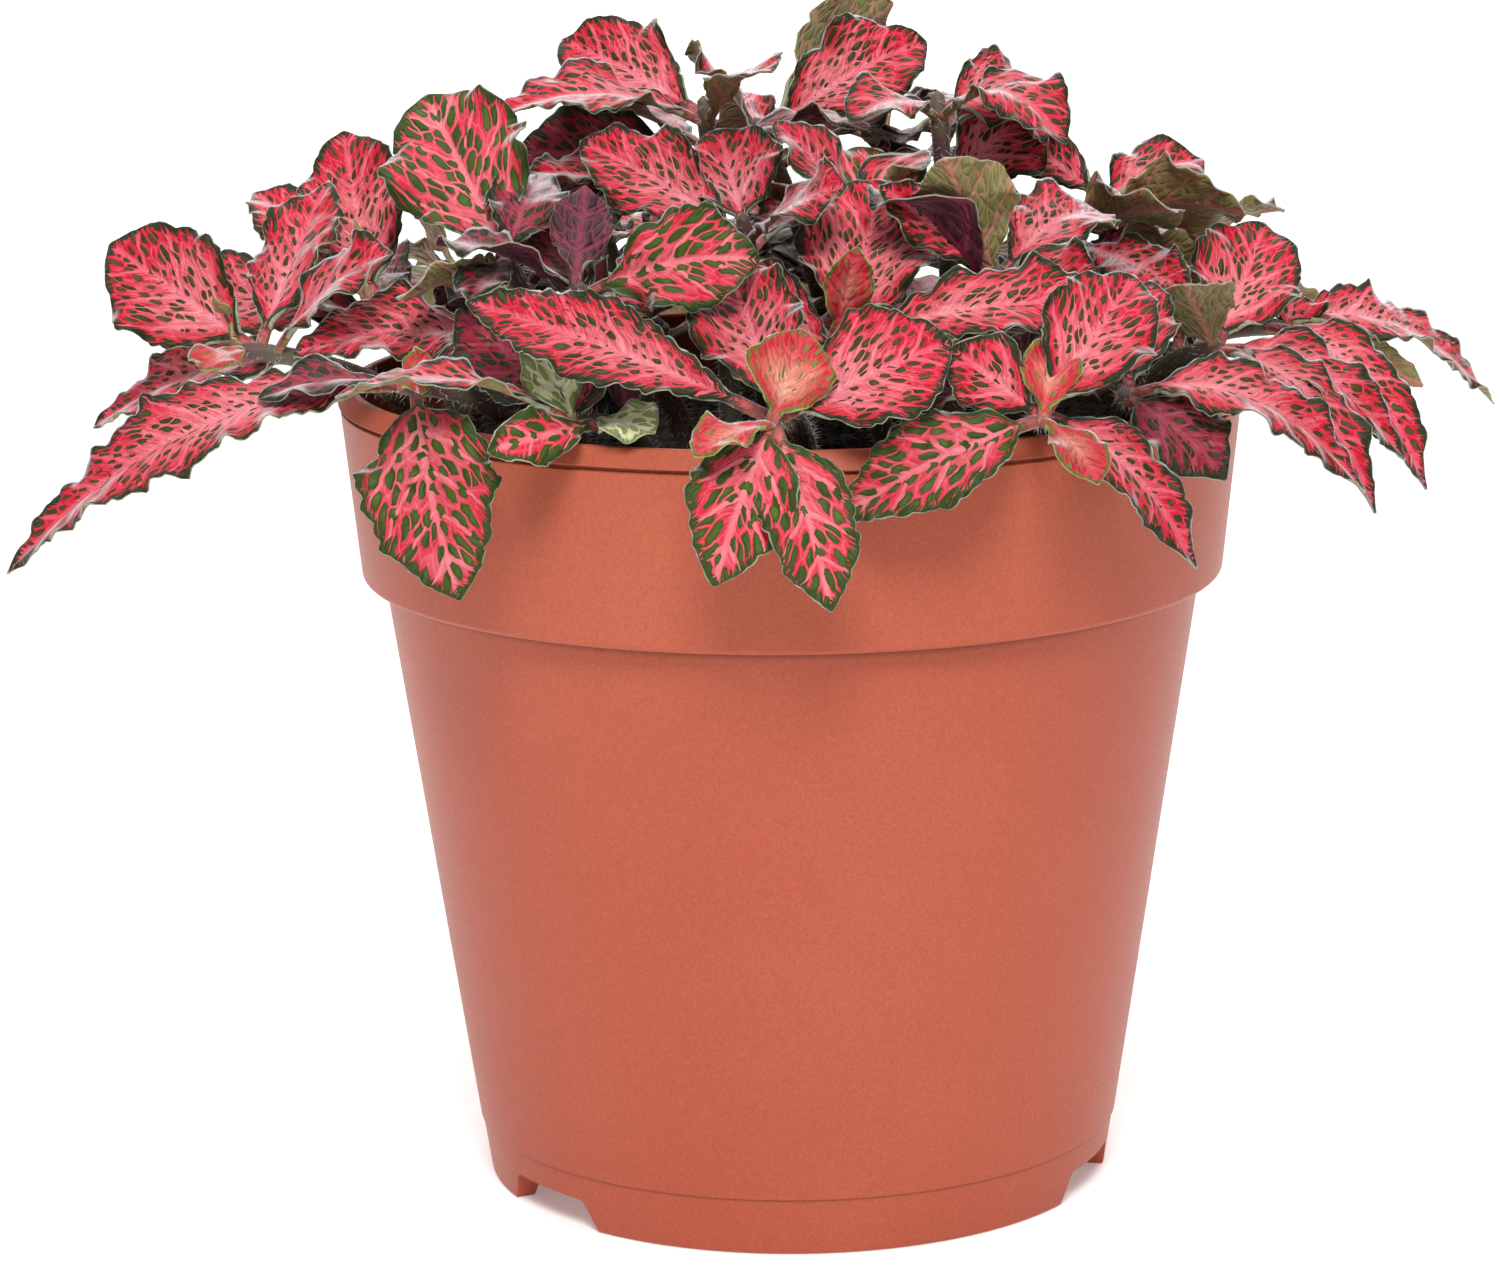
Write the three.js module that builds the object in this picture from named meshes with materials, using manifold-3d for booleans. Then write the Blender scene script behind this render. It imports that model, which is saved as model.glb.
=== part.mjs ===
// A nerve plant in its nursery pot, in millimetres. +Z is up, -Y is the side the picture was taken
// from, +X is to its right. The origin is the middle of the pot's foot, on the surface it stands on.
//
// The pieces are the pot, the soil and the rooted leafy stems. Each stem stands in a plain hole in the
// soil and is one body with its own leaves. No two pieces touch.
import * as THREE from "three";
import { mergeVertices } from "three/addons/utils/BufferGeometryUtils.js";
import Module from "manifold-3d";

const wasm = await Module();
wasm.setup();

// ---- Pot -------------------------------------------------------------------------------------
const POT_SEGMENTS = 32;
const POT_HEIGHT = 108;
const RIM_TOP_RADIUS = 58.5; // outer edge of the flat top of the rim
const RIM_RADIUS = 60; // widest, just under the bevel of the rim
const RIM_BEVEL = 2.3; // height of that bevel
const RIM_LIP = 0.35; // the rim stands out this far from the line of the band
const RIM_LIP_HEIGHT = 0.5;
const BAND_BOTTOM_Z = 84.3;
const BAND_BOTTOM_RADIUS = 57.25;
const BAND_ROUNDING = 2; // rounded lower edge of the band
const BODY_TOP_RADIUS = 54.4;
const BODY_BOTTOM_Z = 7.4;
const BODY_BOTTOM_RADIUS = 43.3;
const FOOT_STEP = 0.25; // the fine step above the foot
const FOOT_STEP_HEIGHT = 0.3;
const FOOT_RADIUS = 41.9;
const WALL = 1.4;
const FOOT_RIM_WIDTH = 2.6; // width of the ring the pot stands on
const FOOT_RIM_TAPER = 0.8; // the ring is wider at its top by this much
const FLOOR_BOTTOM_Z = 4.6;
const FLOOR_TOP_Z = 6.2;
const FLOOR_ROUNDING = 1.4; // sloped corner between the floor and the wall
const NOTCH_ANGLES = [-52, 68, 188]; // degrees from -Y towards +X
const NOTCH_HEIGHT = 4.1;
const NOTCH_BOTTOM_DEGREES = 27;
const NOTCH_TOP_DEGREES = 19;
const NOTCH_CORNER = 0.8; // bevel of its upper corners, in height
const NOTCH_CORNER_DEGREES = 0.8; // and to either side of them
const NOTCH_OVERCUT = 3; // how far the cutting solid reaches past the ring
const DRAIN_HOLES = 6;
const DRAIN_HOLE_RADIUS = 4;
const DRAIN_HOLE_SIDES = 12;
const DRAIN_CIRCLE_RADIUS = 29;

// ---- Soil ------------------------------------------------------------------------------------
const GAP = 0.4; // clear space between two pieces that fit into one another
const INNER_SHOULDER_GAP = 0.2; // the soil's corners lie this far above the pot's
const SOIL_TOP_Z = 98.5;
const SOIL_BUMP = 0.9; // height of the lumps on top
const SOIL_RINGS = [18, 36]; // radii of the rings of points on top, inside the edge
const SOIL_EDGE = 3; // width of the sunken edge along the pot
const SOIL_EDGE_DROP = 1.5;
const HOLE_BOTTOM_Z = 90.4;
const HOLE_SIDES = 5;

// ---- Stems -----------------------------------------------------------------------------------
const STEM_SIDES = 5;
const STEM_RADIUS = 1.6; // at the root
const STEM_TIP_RADIUS = 1.1;
const STEM_UPRIGHT = 12; // a stem rises about this far above the soil before it leans over
const STEM_START = 2; // height above the soil where it starts to lean
const STEM_KNOTS = [0, 0.35, 0.7, 1]; // where its cross-sections lie along its line
const STEM_POINT = 0.9; // length of its blunt tip

// ---- Leaves ----------------------------------------------------------------------------------
const HALF_THICKNESS = 0.4;
const PETIOLE_HALF_WIDTH = 0.8;
const PETIOLE_EXTRA = 0.15; // the leaf stalk is thicker than the blade by this much on either side
const PETIOLE_SHARE = 0.12; // share of the length from the stem to the start of the blade
const PETIOLE_END = 0.33; // share of the blade where the stalk's width has run out
const PETIOLE_BULGE_END = 0.25; // share of the blade where its extra thickness has run out
const BLADE_FULLNESS = 0.8; // below 1 rounds the outline out towards its ends
const STANDING_PEAK = 1.15; // above 1 puts the widest place of a blade beyond its middle
const HANGING_PEAK = 0.85; // below 1 puts it nearer the stalk, with a long tip
const HANGING_DROP = 6; // a leaf hangs if its tip is this far below its base
const RUFFLE = 0.2; // height of the waves of the edge, as a share of the half width
const CUP = 0.16; // how far the sides rise above the midrib, as a share of the half width
const BROAD_LEAF_WIDTH = 14; // a leaf at least this wide has more waves along its edge
const BROAD_STATIONS = 5; // rows of points from the start of a blade to just before its tip
const STATIONS = 4;
const FILL_STATIONS = 3;
const COLUMNS = 2; // from one edge of a blade to the other
const SIMPLIFY = 0.06; // slivers finer than this, left where leaves join, are merged away
const CLEARANCE = 0.45; // a leaf keeps this far from every other piece

// A leaf that would touch another piece leans along this line, towards the picture or away from it.
const LEAN_LINE = new THREE.Vector3(0, 0.978, -0.211);
const LEANS = [0, 3, -3, 6, -6, 9, -9, 12, -12, 16, -16, 20, -20];
const BENDS = [0, 3, -3, 6, -6];

// Leaves that fill the bush low on each stem, placed by a rule.
const FILL_LEAVES = 3;
const FILL_LEAVES_BEHIND = 4; // on a stem that is rooted behind BEHIND_Y
const BEHIND_Y = 20;
const FILL_TURN = 137.5; // degrees from one leaf of a stem to the next
const FILL_STEM_TURN = 47; // degrees from one stem to the next
const FILL_LOWEST = 0.45; // how far up the stem the first of them starts
const FILL_HIGHEST = 0.85; // and the last
const FILL_REACH = 27; // level distance from the stem to the tip
const FILL_REACH_SPREAD = 5;
const FILL_RISE = 5; // the tip lies about this far above its start
const FILL_RISE_SPREAD = 4;
const FILL_WIDTH = 12.5;
const FILL_WIDTH_SPREAD = 2;
const FILL_ARCH = 3;
const FILL_LIFT = 68; // degrees that its face looks up
const FILL_FRONT_Y = -36; // no tip comes nearer to the picture's side than this
const FILL_RADIUS = 72; // or farther out
const RIM_ZONE_RADIUS = 46; // a tip farther out than this lies above the rim
const RIM_ZONE_Z = 113;

// One row for each leaf: how far up the stem it starts (1 is the top), the place of its tip, its
// width, how far it arches towards its upper face, and where that face looks: degrees from -Y
// towards +X, and degrees above level. The last number is its colouring: 0 red with small green
// spots, 1 red net on green, 2 young, 3 dark, 4 pale green. It has no part in the form.
const SHOOTS = [
  {
    name: "shoot_front_middle",
    root: [2, -38],
    top: [-3, -63, 112],
    leaves: [
      [1, 1, -60, 123, 11, 1, 10, 0, 2], // young leaf, up
      [1, -12, -73, 110, 7, 1.5, -20, 50, 2], // young leaf, down left
      [0.93, -40, -47, 125, 11, 3, -5, 35, 0], // long leaf to the left
      [0.93, 19, -58, 121, 15, 2, 5, 30, 0], // broad leaf to the right
      [0.84, -8, -36, 128, 14, 1, -5, 25, 0], // leaf standing behind
      [0.97, -10, -71, 94, 13, 4, 0, 25, 1], // hanging over the band, left
      [0.97, 4, -72, 91, 11.5, 4, 8, 15, 1], // hanging over the band, right
    ],
  },
  {
    name: "shoot_front_right",
    root: [30, -36],
    top: [30, -57, 111],
    leaves: [
      [1, 32, -52, 121, 7.5, 1, 0, 15, 2], // young leaf, up
      [1, 36, -67, 105, 7, 1.5, 20, 45, 2], // young leaf, down right
      [0.94, 19, -56, 120, 10, 1, -10, 25, 0], // leaf to the left
      [0.94, 42, -36, 125, 14, 2, 0, 25, 0], // broad leaf up right
      [0.85, 28, -33, 120, 11, 1, 0, 20, 3], // dark leaf behind
      [0.8, 49, -54, 92, 9, 5, 15, 45, 0], // wavy hanging leaf
      [0.97, 5, -56, 99, 12, 3, -10, 30, 1], // long leaf down to the left
      [0.7, 44, -24, 113, 11, 2, 120, 60, 3], // inner leaf
      [0.6, 14, -34, 112, 11, 2, -60, 60, 3], // inner leaf, left
    ],
  },
  {
    name: "shoot_left_over_rim",
    root: [-45, -18],
    top: [-70, -25, 116],
    leaves: [
      [0.95, -87, -19, 129, 16, 1, -10, 20, 0], // leaf up left
      [0.95, -60, -5, 135, 12, 1, -30, 25, 0], // leaf up right
      [0.9, -50, -31, 129, 11, 3, -10, 60, 0], // folded leaf to the right
      [1, -77, -22, 121, 7, 1, 175, 35, 2], // young leaf, far side
      [1, -74, -35, 115, 7, 1, -10, 45, 2], // young leaf, near side
      [0.8, -91, -12, 104, 12, 4, -5, 55, 0], // low leaf behind
    ],
  },
  {
    name: "shoot_left_front",
    root: [-33, -31],
    top: [-49, -43, 114],
    leaves: [
      [0.92, -41, -58, 90, 17, 5, -8, 18, 1], // big hanging leaf
      [0.9, -99, -38, 90, 12, 10, -15, 50, 0], // longest leaf, arching left
      [1, -66, -46, 113, 8, 2, 0, 70, 3], // narrow leaf to the left
      [1, -44, -46, 117, 6, 1, 10, 30, 2], // young leaf
    ],
  },
  {
    name: "shoot_front_low",
    root: [-17, -44],
    top: [-27, -50, 110],
    leaves: [
      [0.8, -42, -34, 122, 12, 1, 0, 15, 3], // dark leaf up left
      [1, -32, -48, 122, 8, 1, 20, 0, 4], // pale young leaf
      [1, -25, -45, 119, 7, 1, 0, 10, 3], // small dark leaf
      [0.97, -56, -51, 114, 9, 4, 0, 85, 0], // long low leaf to the left
      [0.8, -37, -62, 109, 7, 1, 0, 20, 1], // small leaf at the rim
      [0.85, -17, -56, 110, 8, 1, 0, 60, 4], // pale leaf at the rim
    ],
  },
  {
    name: "shoot_left_middle",
    root: [-28, -12],
    top: [-36, -25, 127],
    leaves: [
      [0.95, -47, -4, 146, 19, 2, -5, 20, 1], // broad netted leaf
      [0.9, -49, -37, 124, 11, 2, 170, 45, 0], // underside to the left
      [1, -40, -40, 124, 7, 1, -10, 40, 3], // small leaf
      [0.5, -63, -30, 116, 12, 5, -5, 55, 0], // arching leaf, far left
      [1, -32, 2, 134, 10, 1, 0, 30, 3], // small leaf behind
      [0.7, -44, 14, 114, 14, 3, -170, 60, 3], // leaf to the back
    ],
  },
  {
    name: "shoot_left_back",
    root: [-44, 4],
    top: [-55, -7, 119],
    leaves: [
      [0.95, -59, 9, 140, 15, 1, -8, 15, 0], // standing leaf
      [1, -61, 2, 131, 6, 1, 175, 10, 2], // young underside
      [0.9, -72, 16, 131, 11, 3, -5, 55, 0], // far leaf
      [0.7, -87, 22, 116, 14, 4, -20, 45, 0], // low leaf behind
    ],
  },
  {
    name: "shoot_middle_left",
    root: [-13, -24],
    top: [-27, -35, 125],
    leaves: [
      [0.95, -4, -42, 129, 14, 5, 0, 30, 1], // big leaf to the right
      [1, -26, -22, 136, 8, 1, 180, 10, 3], // young purple underside
      [0.85, -13, -22, 126, 11, 1, 0, 30, 0], // leaf beneath
      [0.85, -37, -14, 135, 12, 1, 0, 35, 3], // leaf behind, left
      [0.75, -36, -8, 124, 14, 3, -140, 60, 3], // leaf to the back left
    ],
  },
  {
    name: "shoot_middle_front",
    root: [12, -25],
    top: [5, -43, 119],
    leaves: [
      [0.95, 12, -20, 136, 18, 1, 0, 15, 0], // broad leaf, face on
      [0.93, 40, -46, 123, 12, 4, 0, 50, 0], // long leaf to the right
      [0.8, -13, -27, 125, 12, 1, 0, 30, 0], // leaf beneath, left
      [1, 8, -46, 131, 6, 1, 10, 20, 2], // young leaf
      [0.7, 30, -30, 118, 13, 3, 60, 60, 3], // leaf to the right, inner
    ],
  },
  {
    name: "shoot_middle",
    root: [-3, -6],
    top: [-6, -17, 131],
    leaves: [
      [0.95, -9, -3, 141, 15, 1, 0, 20, 0], // leaf, face on
      [0.9, -27, -7, 140, 13, 2, 0, 40, 0], // leaf to the left
      [0.9, 7, -30, 136, 10, 2, 0, 45, 0], // leaf to the right
      [0.85, 8, 18, 126, 14, 3, 175, 60, 0], // leaf to the back
    ],
  },
  {
    name: "shoot_middle_right",
    root: [13, -6],
    top: [9, -18, 132],
    leaves: [
      [0.95, 12, -3, 138, 14, 1, 5, 18, 1], // leaf, face on
      [0.95, 17, -26, 139, 11, 3, 0, 70, 0], // edge-on leaf to the right
      [0.9, -2, -15, 143, 10, 2, 0, 70, 0], // edge-on leaf to the left
      [0.85, 38, 8, 128, 14, 3, 120, 60, 3], // leaf to the back right
    ],
  },
  {
    name: "shoot_top_left",
    root: [-8, 12],
    top: [-11, 4, 144],
    leaves: [
      [0.95, -30, 17, 151, 14, 2, -5, 35, 0], // leaf up left
      [0.93, -38, -2, 143, 13, 4, 0, 72, 0], // edge-on leaf, far left
      [0.93, -2, -10, 149, 11, 3, 0, 68, 0], // edge-on leaf to the right
      [0.8, -36, 12, 137, 14, 1, 0, 15, 3], // shaded leaf, face on
      [0.65, -34, -20, 139, 11, 3, 0, 62, 0], // curled leaf, left
      [0.85, -30, 34, 140, 14, 3, -160, 60, 0], // leaf to the back
    ],
  },
  {
    name: "shoot_top",
    root: [7, 18],
    top: [-4, 14, 140],
    leaves: [
      [0.95, 19, 18, 150, 14, 4, 0, 35, 0], // long arching leaf
      [0.95, 15, 34, 154, 14, 3, 180, 30, 0], // highest leaf, underside
      [0.85, -13, 40, 146, 13, 3, 170, 50, 0], // leaf at the back
    ],
  },
  {
    name: "shoot_top_right",
    root: [22, 8],
    top: [20, 7, 144],
    leaves: [
      [0.95, 35, 20, 139, 15, 5, 5, 42, 0], // leaf down right
      [0.93, 36, -8, 139, 13, 6, 0, 72, 0], // edge-on leaf to the right
      [0.93, 8, -4, 142, 11, 3, 0, 70, 0], // edge-on leaf to the left
      [0.75, 34, 14, 141, 14, 2, 5, 25, 0], // leaf, face on
    ],
  },
  {
    name: "shoot_right_middle",
    root: [25, -18],
    top: [26, -31, 126],
    leaves: [
      [0.95, 19, -39, 141, 13, 1, 180, 35, 0], // underside, standing
      [0.95, 11, -34, 137, 8, 1, 0, 35, 0], // slanting leaf to the left
      [0.9, 38, -38, 125, 11, 2, 0, 35, 0], // leaf to the right
      [0.9, 41, -12, 130, 13, 5, 0, 60, 0], // curled leaf
      [0.8, 36, -4, 118, 14, 3, 150, 60, 3], // leaf to the back
    ],
  },
  {
    name: "shoot_right_upper",
    root: [30, 12],
    top: [42, 8, 130],
    leaves: [
      [0.95, 56, 16, 134, 12, 2, 0, 68, 0], // thin leaf to the right
      [0.9, 60, -2, 129, 13, 3, 170, 40, 0], // underside, far right
      [0.85, 49, -12, 131, 12, 2, 180, 30, 0], // underside, lower
      [1, 31, 18, 138, 7, 1, 0, 20, 0], // small leaf
      [0.8, 51, -20, 121, 9, 2, 0, 35, 0], // leaf down right
      [0.8, 44, 30, 122, 13, 3, 160, 60, 3], // leaf to the back
      [0.7, 58, -6, 122, 14, 2, 175, 30, 0], // lower underside
    ],
  },
  {
    name: "shoot_right",
    root: [45, -8],
    top: [56, -16, 113],
    leaves: [
      [0.95, 63, 3, 127, 15, 1, 0, 15, 0], // leaf, face on
      [0.93, 79, -20, 99, 10, 6, 8, 58, 0], // long leaf down right
      [0.9, 74, -30, 94, 9, 7, 20, 55, 0], // long leaf, steeper
      [0.95, 50, -31, 124, 10, 1, 180, 30, 0], // underside, standing
      [0.8, 62, 10, 114, 12, 3, 150, 60, 3], // leaf to the back
    ],
  },
  {
    name: "shoot_right_front",
    root: [43, -27],
    top: [41, -42, 111],
    leaves: [
      [0.94, 71, -42, 99, 10.5, 8, 5, 58, 0], // long arching leaf
      [0.97, 53, -49, 102, 12, 2, 15, 40, 3], // dark low leaf
      [0.9, 46, -22, 123, 9, 1, 0, 25, 0], // leaf behind, up
    ],
  },
  {
    name: "shoot_right_back",
    root: [47, 12],
    top: [67, 10, 112],
    leaves: [
      [0.95, 98, 29, 98, 11, 8, 0, 58, 0], // farthest leaf right
      [0.95, 86, 14, 103, 8, 2, 180, 30, 0], // narrow underside
      [0.9, 85, 2, 91, 10, 8, 10, 50, 0], // long leaf, green tip
      [1, 68, 13, 116, 10, 1, 0, 20, 0], // small leaf
    ],
  },
  {
    name: "shoot_back_left",
    root: [-32, 26],
    top: [-46, 42, 116],
    leaves: [
      [1, -52, 50, 123, 8, 1, -160, 40, 2], // young leaf
      [0.95, -80, 50, 106, 15, 6, -130, 50, 0], // leaf to the left
      [0.95, -50, 72, 101, 15, 6, 175, 45, 1], // leaf to the back
      [0.9, -22, 60, 120, 13, 3, 150, 60, 0], // leaf to the right
      [0.85, -66, 22, 124, 13, 3, -60, 60, 0], // leaf to the front
    ],
  },
  {
    name: "shoot_back",
    root: [-2, 44],
    top: [-6, 60, 113],
    leaves: [
      [1, -9, 68, 119, 8, 1, 180, 45, 2], // young leaf
      [0.95, -26, 72, 98, 16, 5, -165, 30, 1], // hanging leaf, left
      [0.95, 14, 72, 94, 16, 5, 165, 30, 0], // hanging leaf, right
      [0.85, 22, 58, 120, 13, 3, 170, 60, 0], // leaf to the right
      [0.85, -28, 44, 116, 12, 3, -170, 65, 3], // leaf to the left
    ],
  },
  {
    name: "shoot_back_right",
    root: [32, 34],
    top: [44, 48, 116],
    leaves: [
      [1, 50, 55, 122, 8, 1, 150, 45, 2], // young leaf
      [0.95, 78, 50, 104, 15, 6, 125, 50, 0], // leaf to the right
      [0.95, 46, 72, 100, 15, 6, 175, 45, 0], // leaf to the back
      [0.9, 68, 24, 126, 13, 3, 70, 60, 1], // leaf to the front
      [0.85, 28, 62, 112, 12, 3, 170, 60, 0], // leaf to the left
    ],
  },
  {
    name: "shoot_back_upper",
    root: [12, 34],
    top: [14, 42, 136],
    leaves: [
      [1, 16, 50, 143, 8, 1, 180, 45, 2], // young leaf
      [0.95, 40, 50, 132, 15, 4, 150, 55, 0], // leaf to the right
      [0.95, -12, 54, 132, 15, 4, -155, 55, 0], // leaf to the left
      [0.85, 10, 70, 120, 15, 4, 175, 50, 1], // leaf to the back
      [0.8, 22, 18, 134, 13, 3, 30, 65, 3], // leaf to the front
    ],
  },
  {
    name: "shoot_back_upper_left",
    root: [-20, 24],
    top: [-28, 32, 130],
    leaves: [
      [1, -32, 40, 136, 8, 1, -160, 45, 2], // young leaf
      [0.95, -52, 34, 130, 14, 4, -130, 60, 0], // leaf to the left
      [0.95, -26, 58, 126, 15, 4, -175, 50, 0], // leaf to the back
      [0.85, -46, 12, 130, 13, 3, -30, 60, 0], // leaf to the front
    ],
  },
];

const radians = THREE.MathUtils.degToRad;

// A solid from points and triangles. The points are given as THREE.Vector3.
function solidFromTriangles(points, triangles) {
  const vertProperties = new Float32Array(points.length * 3);
  points.forEach((p, i) => vertProperties.set([p.x, p.y, p.z], i * 3));
  const triVerts = new Uint32Array(triangles.flat());
  const made = new wasm.Manifold(new wasm.Mesh({ numProp: 3, vertProperties, triVerts }));
  if (made.volume() >= 0) return made;
  for (let i = 0; i < triVerts.length; i += 3) {
    [triVerts[i + 1], triVerts[i + 2]] = [triVerts[i + 2], triVerts[i + 1]];
  }
  return new wasm.Manifold(new wasm.Mesh({ numProp: 3, vertProperties, triVerts }));
}

// A solid from a closed three.js geometry, without the faces that have shrunk to a line.
function solidFromGeometry(geometry) {
  const plain = geometry.index ? geometry.toNonIndexed() : geometry;
  const positions = new THREE.BufferGeometry();
  positions.setAttribute("position", plain.getAttribute("position"));
  const merged = mergeVertices(positions, 1e-4);
  const at = merged.attributes.position;
  const points = [];
  for (let i = 0; i < at.count; i++) points.push(new THREE.Vector3().fromBufferAttribute(at, i));
  const index = merged.index.array;
  const triangles = [];
  for (let i = 0; i < index.length; i += 3) {
    const [a, b, c] = [index[i], index[i + 1], index[i + 2]];
    if (a !== b && b !== c && c !== a) triangles.push([a, b, c]);
  }
  return solidFromTriangles(points, triangles);
}

// A solid from rings of equally many points, closed by a point at either end.
function solidFromRings(first, rings, last) {
  const points = [first];
  const triangles = [];
  const n = rings[0].length;
  rings.forEach((ring) => points.push(...ring));
  points.push(last);
  const end = points.length - 1;
  for (let j = 0; j < n; j++) {
    const k = (j + 1) % n;
    triangles.push([0, 1 + j, 1 + k]);
    for (let i = 0; i + 1 < rings.length; i++) {
      const a = 1 + i * n;
      const b = a + n;
      triangles.push([a + j, b + j, b + k]);
      triangles.push([a + j, b + k, a + k]);
    }
    const l = 1 + (rings.length - 1) * n;
    triangles.push([l + j, end, l + k]);
  }
  return solidFromTriangles(points, triangles);
}

// An upright round solid with flat ends.
function uprightCylinder(x, y, bottom, top, radius, sides) {
  const geometry = new THREE.CylinderGeometry(radius, radius, top - bottom, sides);
  geometry.rotateX(Math.PI / 2);
  geometry.translate(x, y, (bottom + top) / 2);
  return solidFromGeometry(geometry);
}

// ---- Pot -------------------------------------------------------------------------------------
const BAND_TOP_Z = POT_HEIGHT - RIM_BEVEL - RIM_LIP_HEIGHT;

// The outside of the pot from the foot to the rim, as radius and height.
const outside = [
  [FOOT_RADIUS, 0],
  [BODY_BOTTOM_RADIUS - FOOT_STEP, BODY_BOTTOM_Z],
  [BODY_BOTTOM_RADIUS, BODY_BOTTOM_Z + FOOT_STEP_HEIGHT],
  [BODY_TOP_RADIUS, BAND_BOTTOM_Z - BAND_ROUNDING],
  [BAND_BOTTOM_RADIUS - BAND_ROUNDING, BAND_BOTTOM_Z - BAND_ROUNDING],
  [BAND_BOTTOM_RADIUS - 0.3 * BAND_ROUNDING, BAND_BOTTOM_Z - 0.7 * BAND_ROUNDING],
  [BAND_BOTTOM_RADIUS, BAND_BOTTOM_Z],
  [RIM_RADIUS - RIM_LIP, BAND_TOP_Z],
  [RIM_RADIUS, POT_HEIGHT - RIM_BEVEL],
  [RIM_TOP_RADIUS, POT_HEIGHT],
];

// The inside from the rim down to the floor. It steps in a little below the outside's step.
const SHOULDER_Z = BAND_BOTTOM_Z - BAND_ROUNDING - 0.6;
const FLOOR_CORNER_Z = BODY_BOTTOM_Z + 0.9;
const inside = [
  [RIM_TOP_RADIUS - WALL + 0.2, POT_HEIGHT],
  [RIM_RADIUS - RIM_LIP - WALL, BAND_TOP_Z],
  [BAND_BOTTOM_RADIUS - WALL, BAND_BOTTOM_Z],
  [BODY_TOP_RADIUS - WALL, SHOULDER_Z],
  [BODY_BOTTOM_RADIUS - WALL, FLOOR_CORNER_Z],
  [BODY_BOTTOM_RADIUS - WALL - FLOOR_ROUNDING, FLOOR_TOP_Z],
];

function buildPot() {
  const profile = [
    [0, FLOOR_TOP_Z],
    [0, FLOOR_BOTTOM_Z],
    [FOOT_RADIUS - FOOT_RIM_WIDTH - FOOT_RIM_TAPER, FLOOR_BOTTOM_Z],
    [FOOT_RADIUS - FOOT_RIM_WIDTH, 0],
    ...outside,
    ...inside,
    [0, FLOOR_TOP_Z],
  ].map(([r, z]) => new THREE.Vector2(r, z));
  const lathe = new THREE.LatheGeometry(profile, POT_SEGMENTS);
  lathe.rotateX(Math.PI / 2);
  let pot = solidFromGeometry(lathe);
  for (const angle of NOTCH_ANGLES) pot = pot.subtract(notch(angle));
  for (let i = 0; i < DRAIN_HOLES; i++) {
    const turn = (2 * Math.PI * (i + 0.5)) / DRAIN_HOLES;
    const x = DRAIN_CIRCLE_RADIUS * Math.sin(turn);
    const y = -DRAIN_CIRCLE_RADIUS * Math.cos(turn);
    const [bottom, top] = [FLOOR_BOTTOM_Z - 1, FLOOR_TOP_Z + 1];
    const hole = uprightCylinder(x, y, bottom, top, DRAIN_HOLE_RADIUS, DRAIN_HOLE_SIDES);
    pot = pot.subtract(hole);
  }
  return pot;
}

// The slanted notch that lets water out under the foot ring, narrower at its top.
function notch(angle) {
  const inner = FOOT_RADIUS - FOOT_RIM_WIDTH - NOTCH_OVERCUT;
  const outer = FOOT_RADIUS + NOTCH_OVERCUT;
  const at = (radius, degrees, z) => {
    const turn = radians(degrees);
    return new THREE.Vector3(radius * Math.sin(turn), -radius * Math.cos(turn), z);
  };
  const section = (radius) => {
    const low = NOTCH_BOTTOM_DEGREES / 2;
    const shoulder = NOTCH_TOP_DEGREES / 2 + NOTCH_CORNER_DEGREES;
    const high = NOTCH_TOP_DEGREES / 2 - NOTCH_CORNER_DEGREES;
    return [
      at(radius, angle - low, -1),
      at(radius, angle - shoulder, NOTCH_HEIGHT - NOTCH_CORNER),
      at(radius, angle - high, NOTCH_HEIGHT),
      at(radius, angle + high, NOTCH_HEIGHT),
      at(radius, angle + shoulder, NOTCH_HEIGHT - NOTCH_CORNER),
      at(radius, angle + low, -1),
    ];
  };
  const near = section(inner);
  const far = section(outer);
  const middle = (ring) => {
    const sum = ring.reduce((total, p) => total.clone().add(p), new THREE.Vector3());
    return sum.divideScalar(ring.length);
  };
  return solidFromRings(middle(near), [near, far], middle(far));
}

// ---- Soil ------------------------------------------------------------------------------------
// Height of the lumpy surface of the soil.
function soilHeight(x, y) {
  const coarse = Math.sin(x * 0.21 + 0.6) * Math.cos(y * 0.17 - 1.1);
  const fine = Math.sin(x * 0.53 - y * 0.31 + 2) * Math.sin(y * 0.47 + 0.4);
  return SOIL_TOP_Z + SOIL_BUMP * (0.6 * coarse + 0.5 * fine);
}

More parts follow.
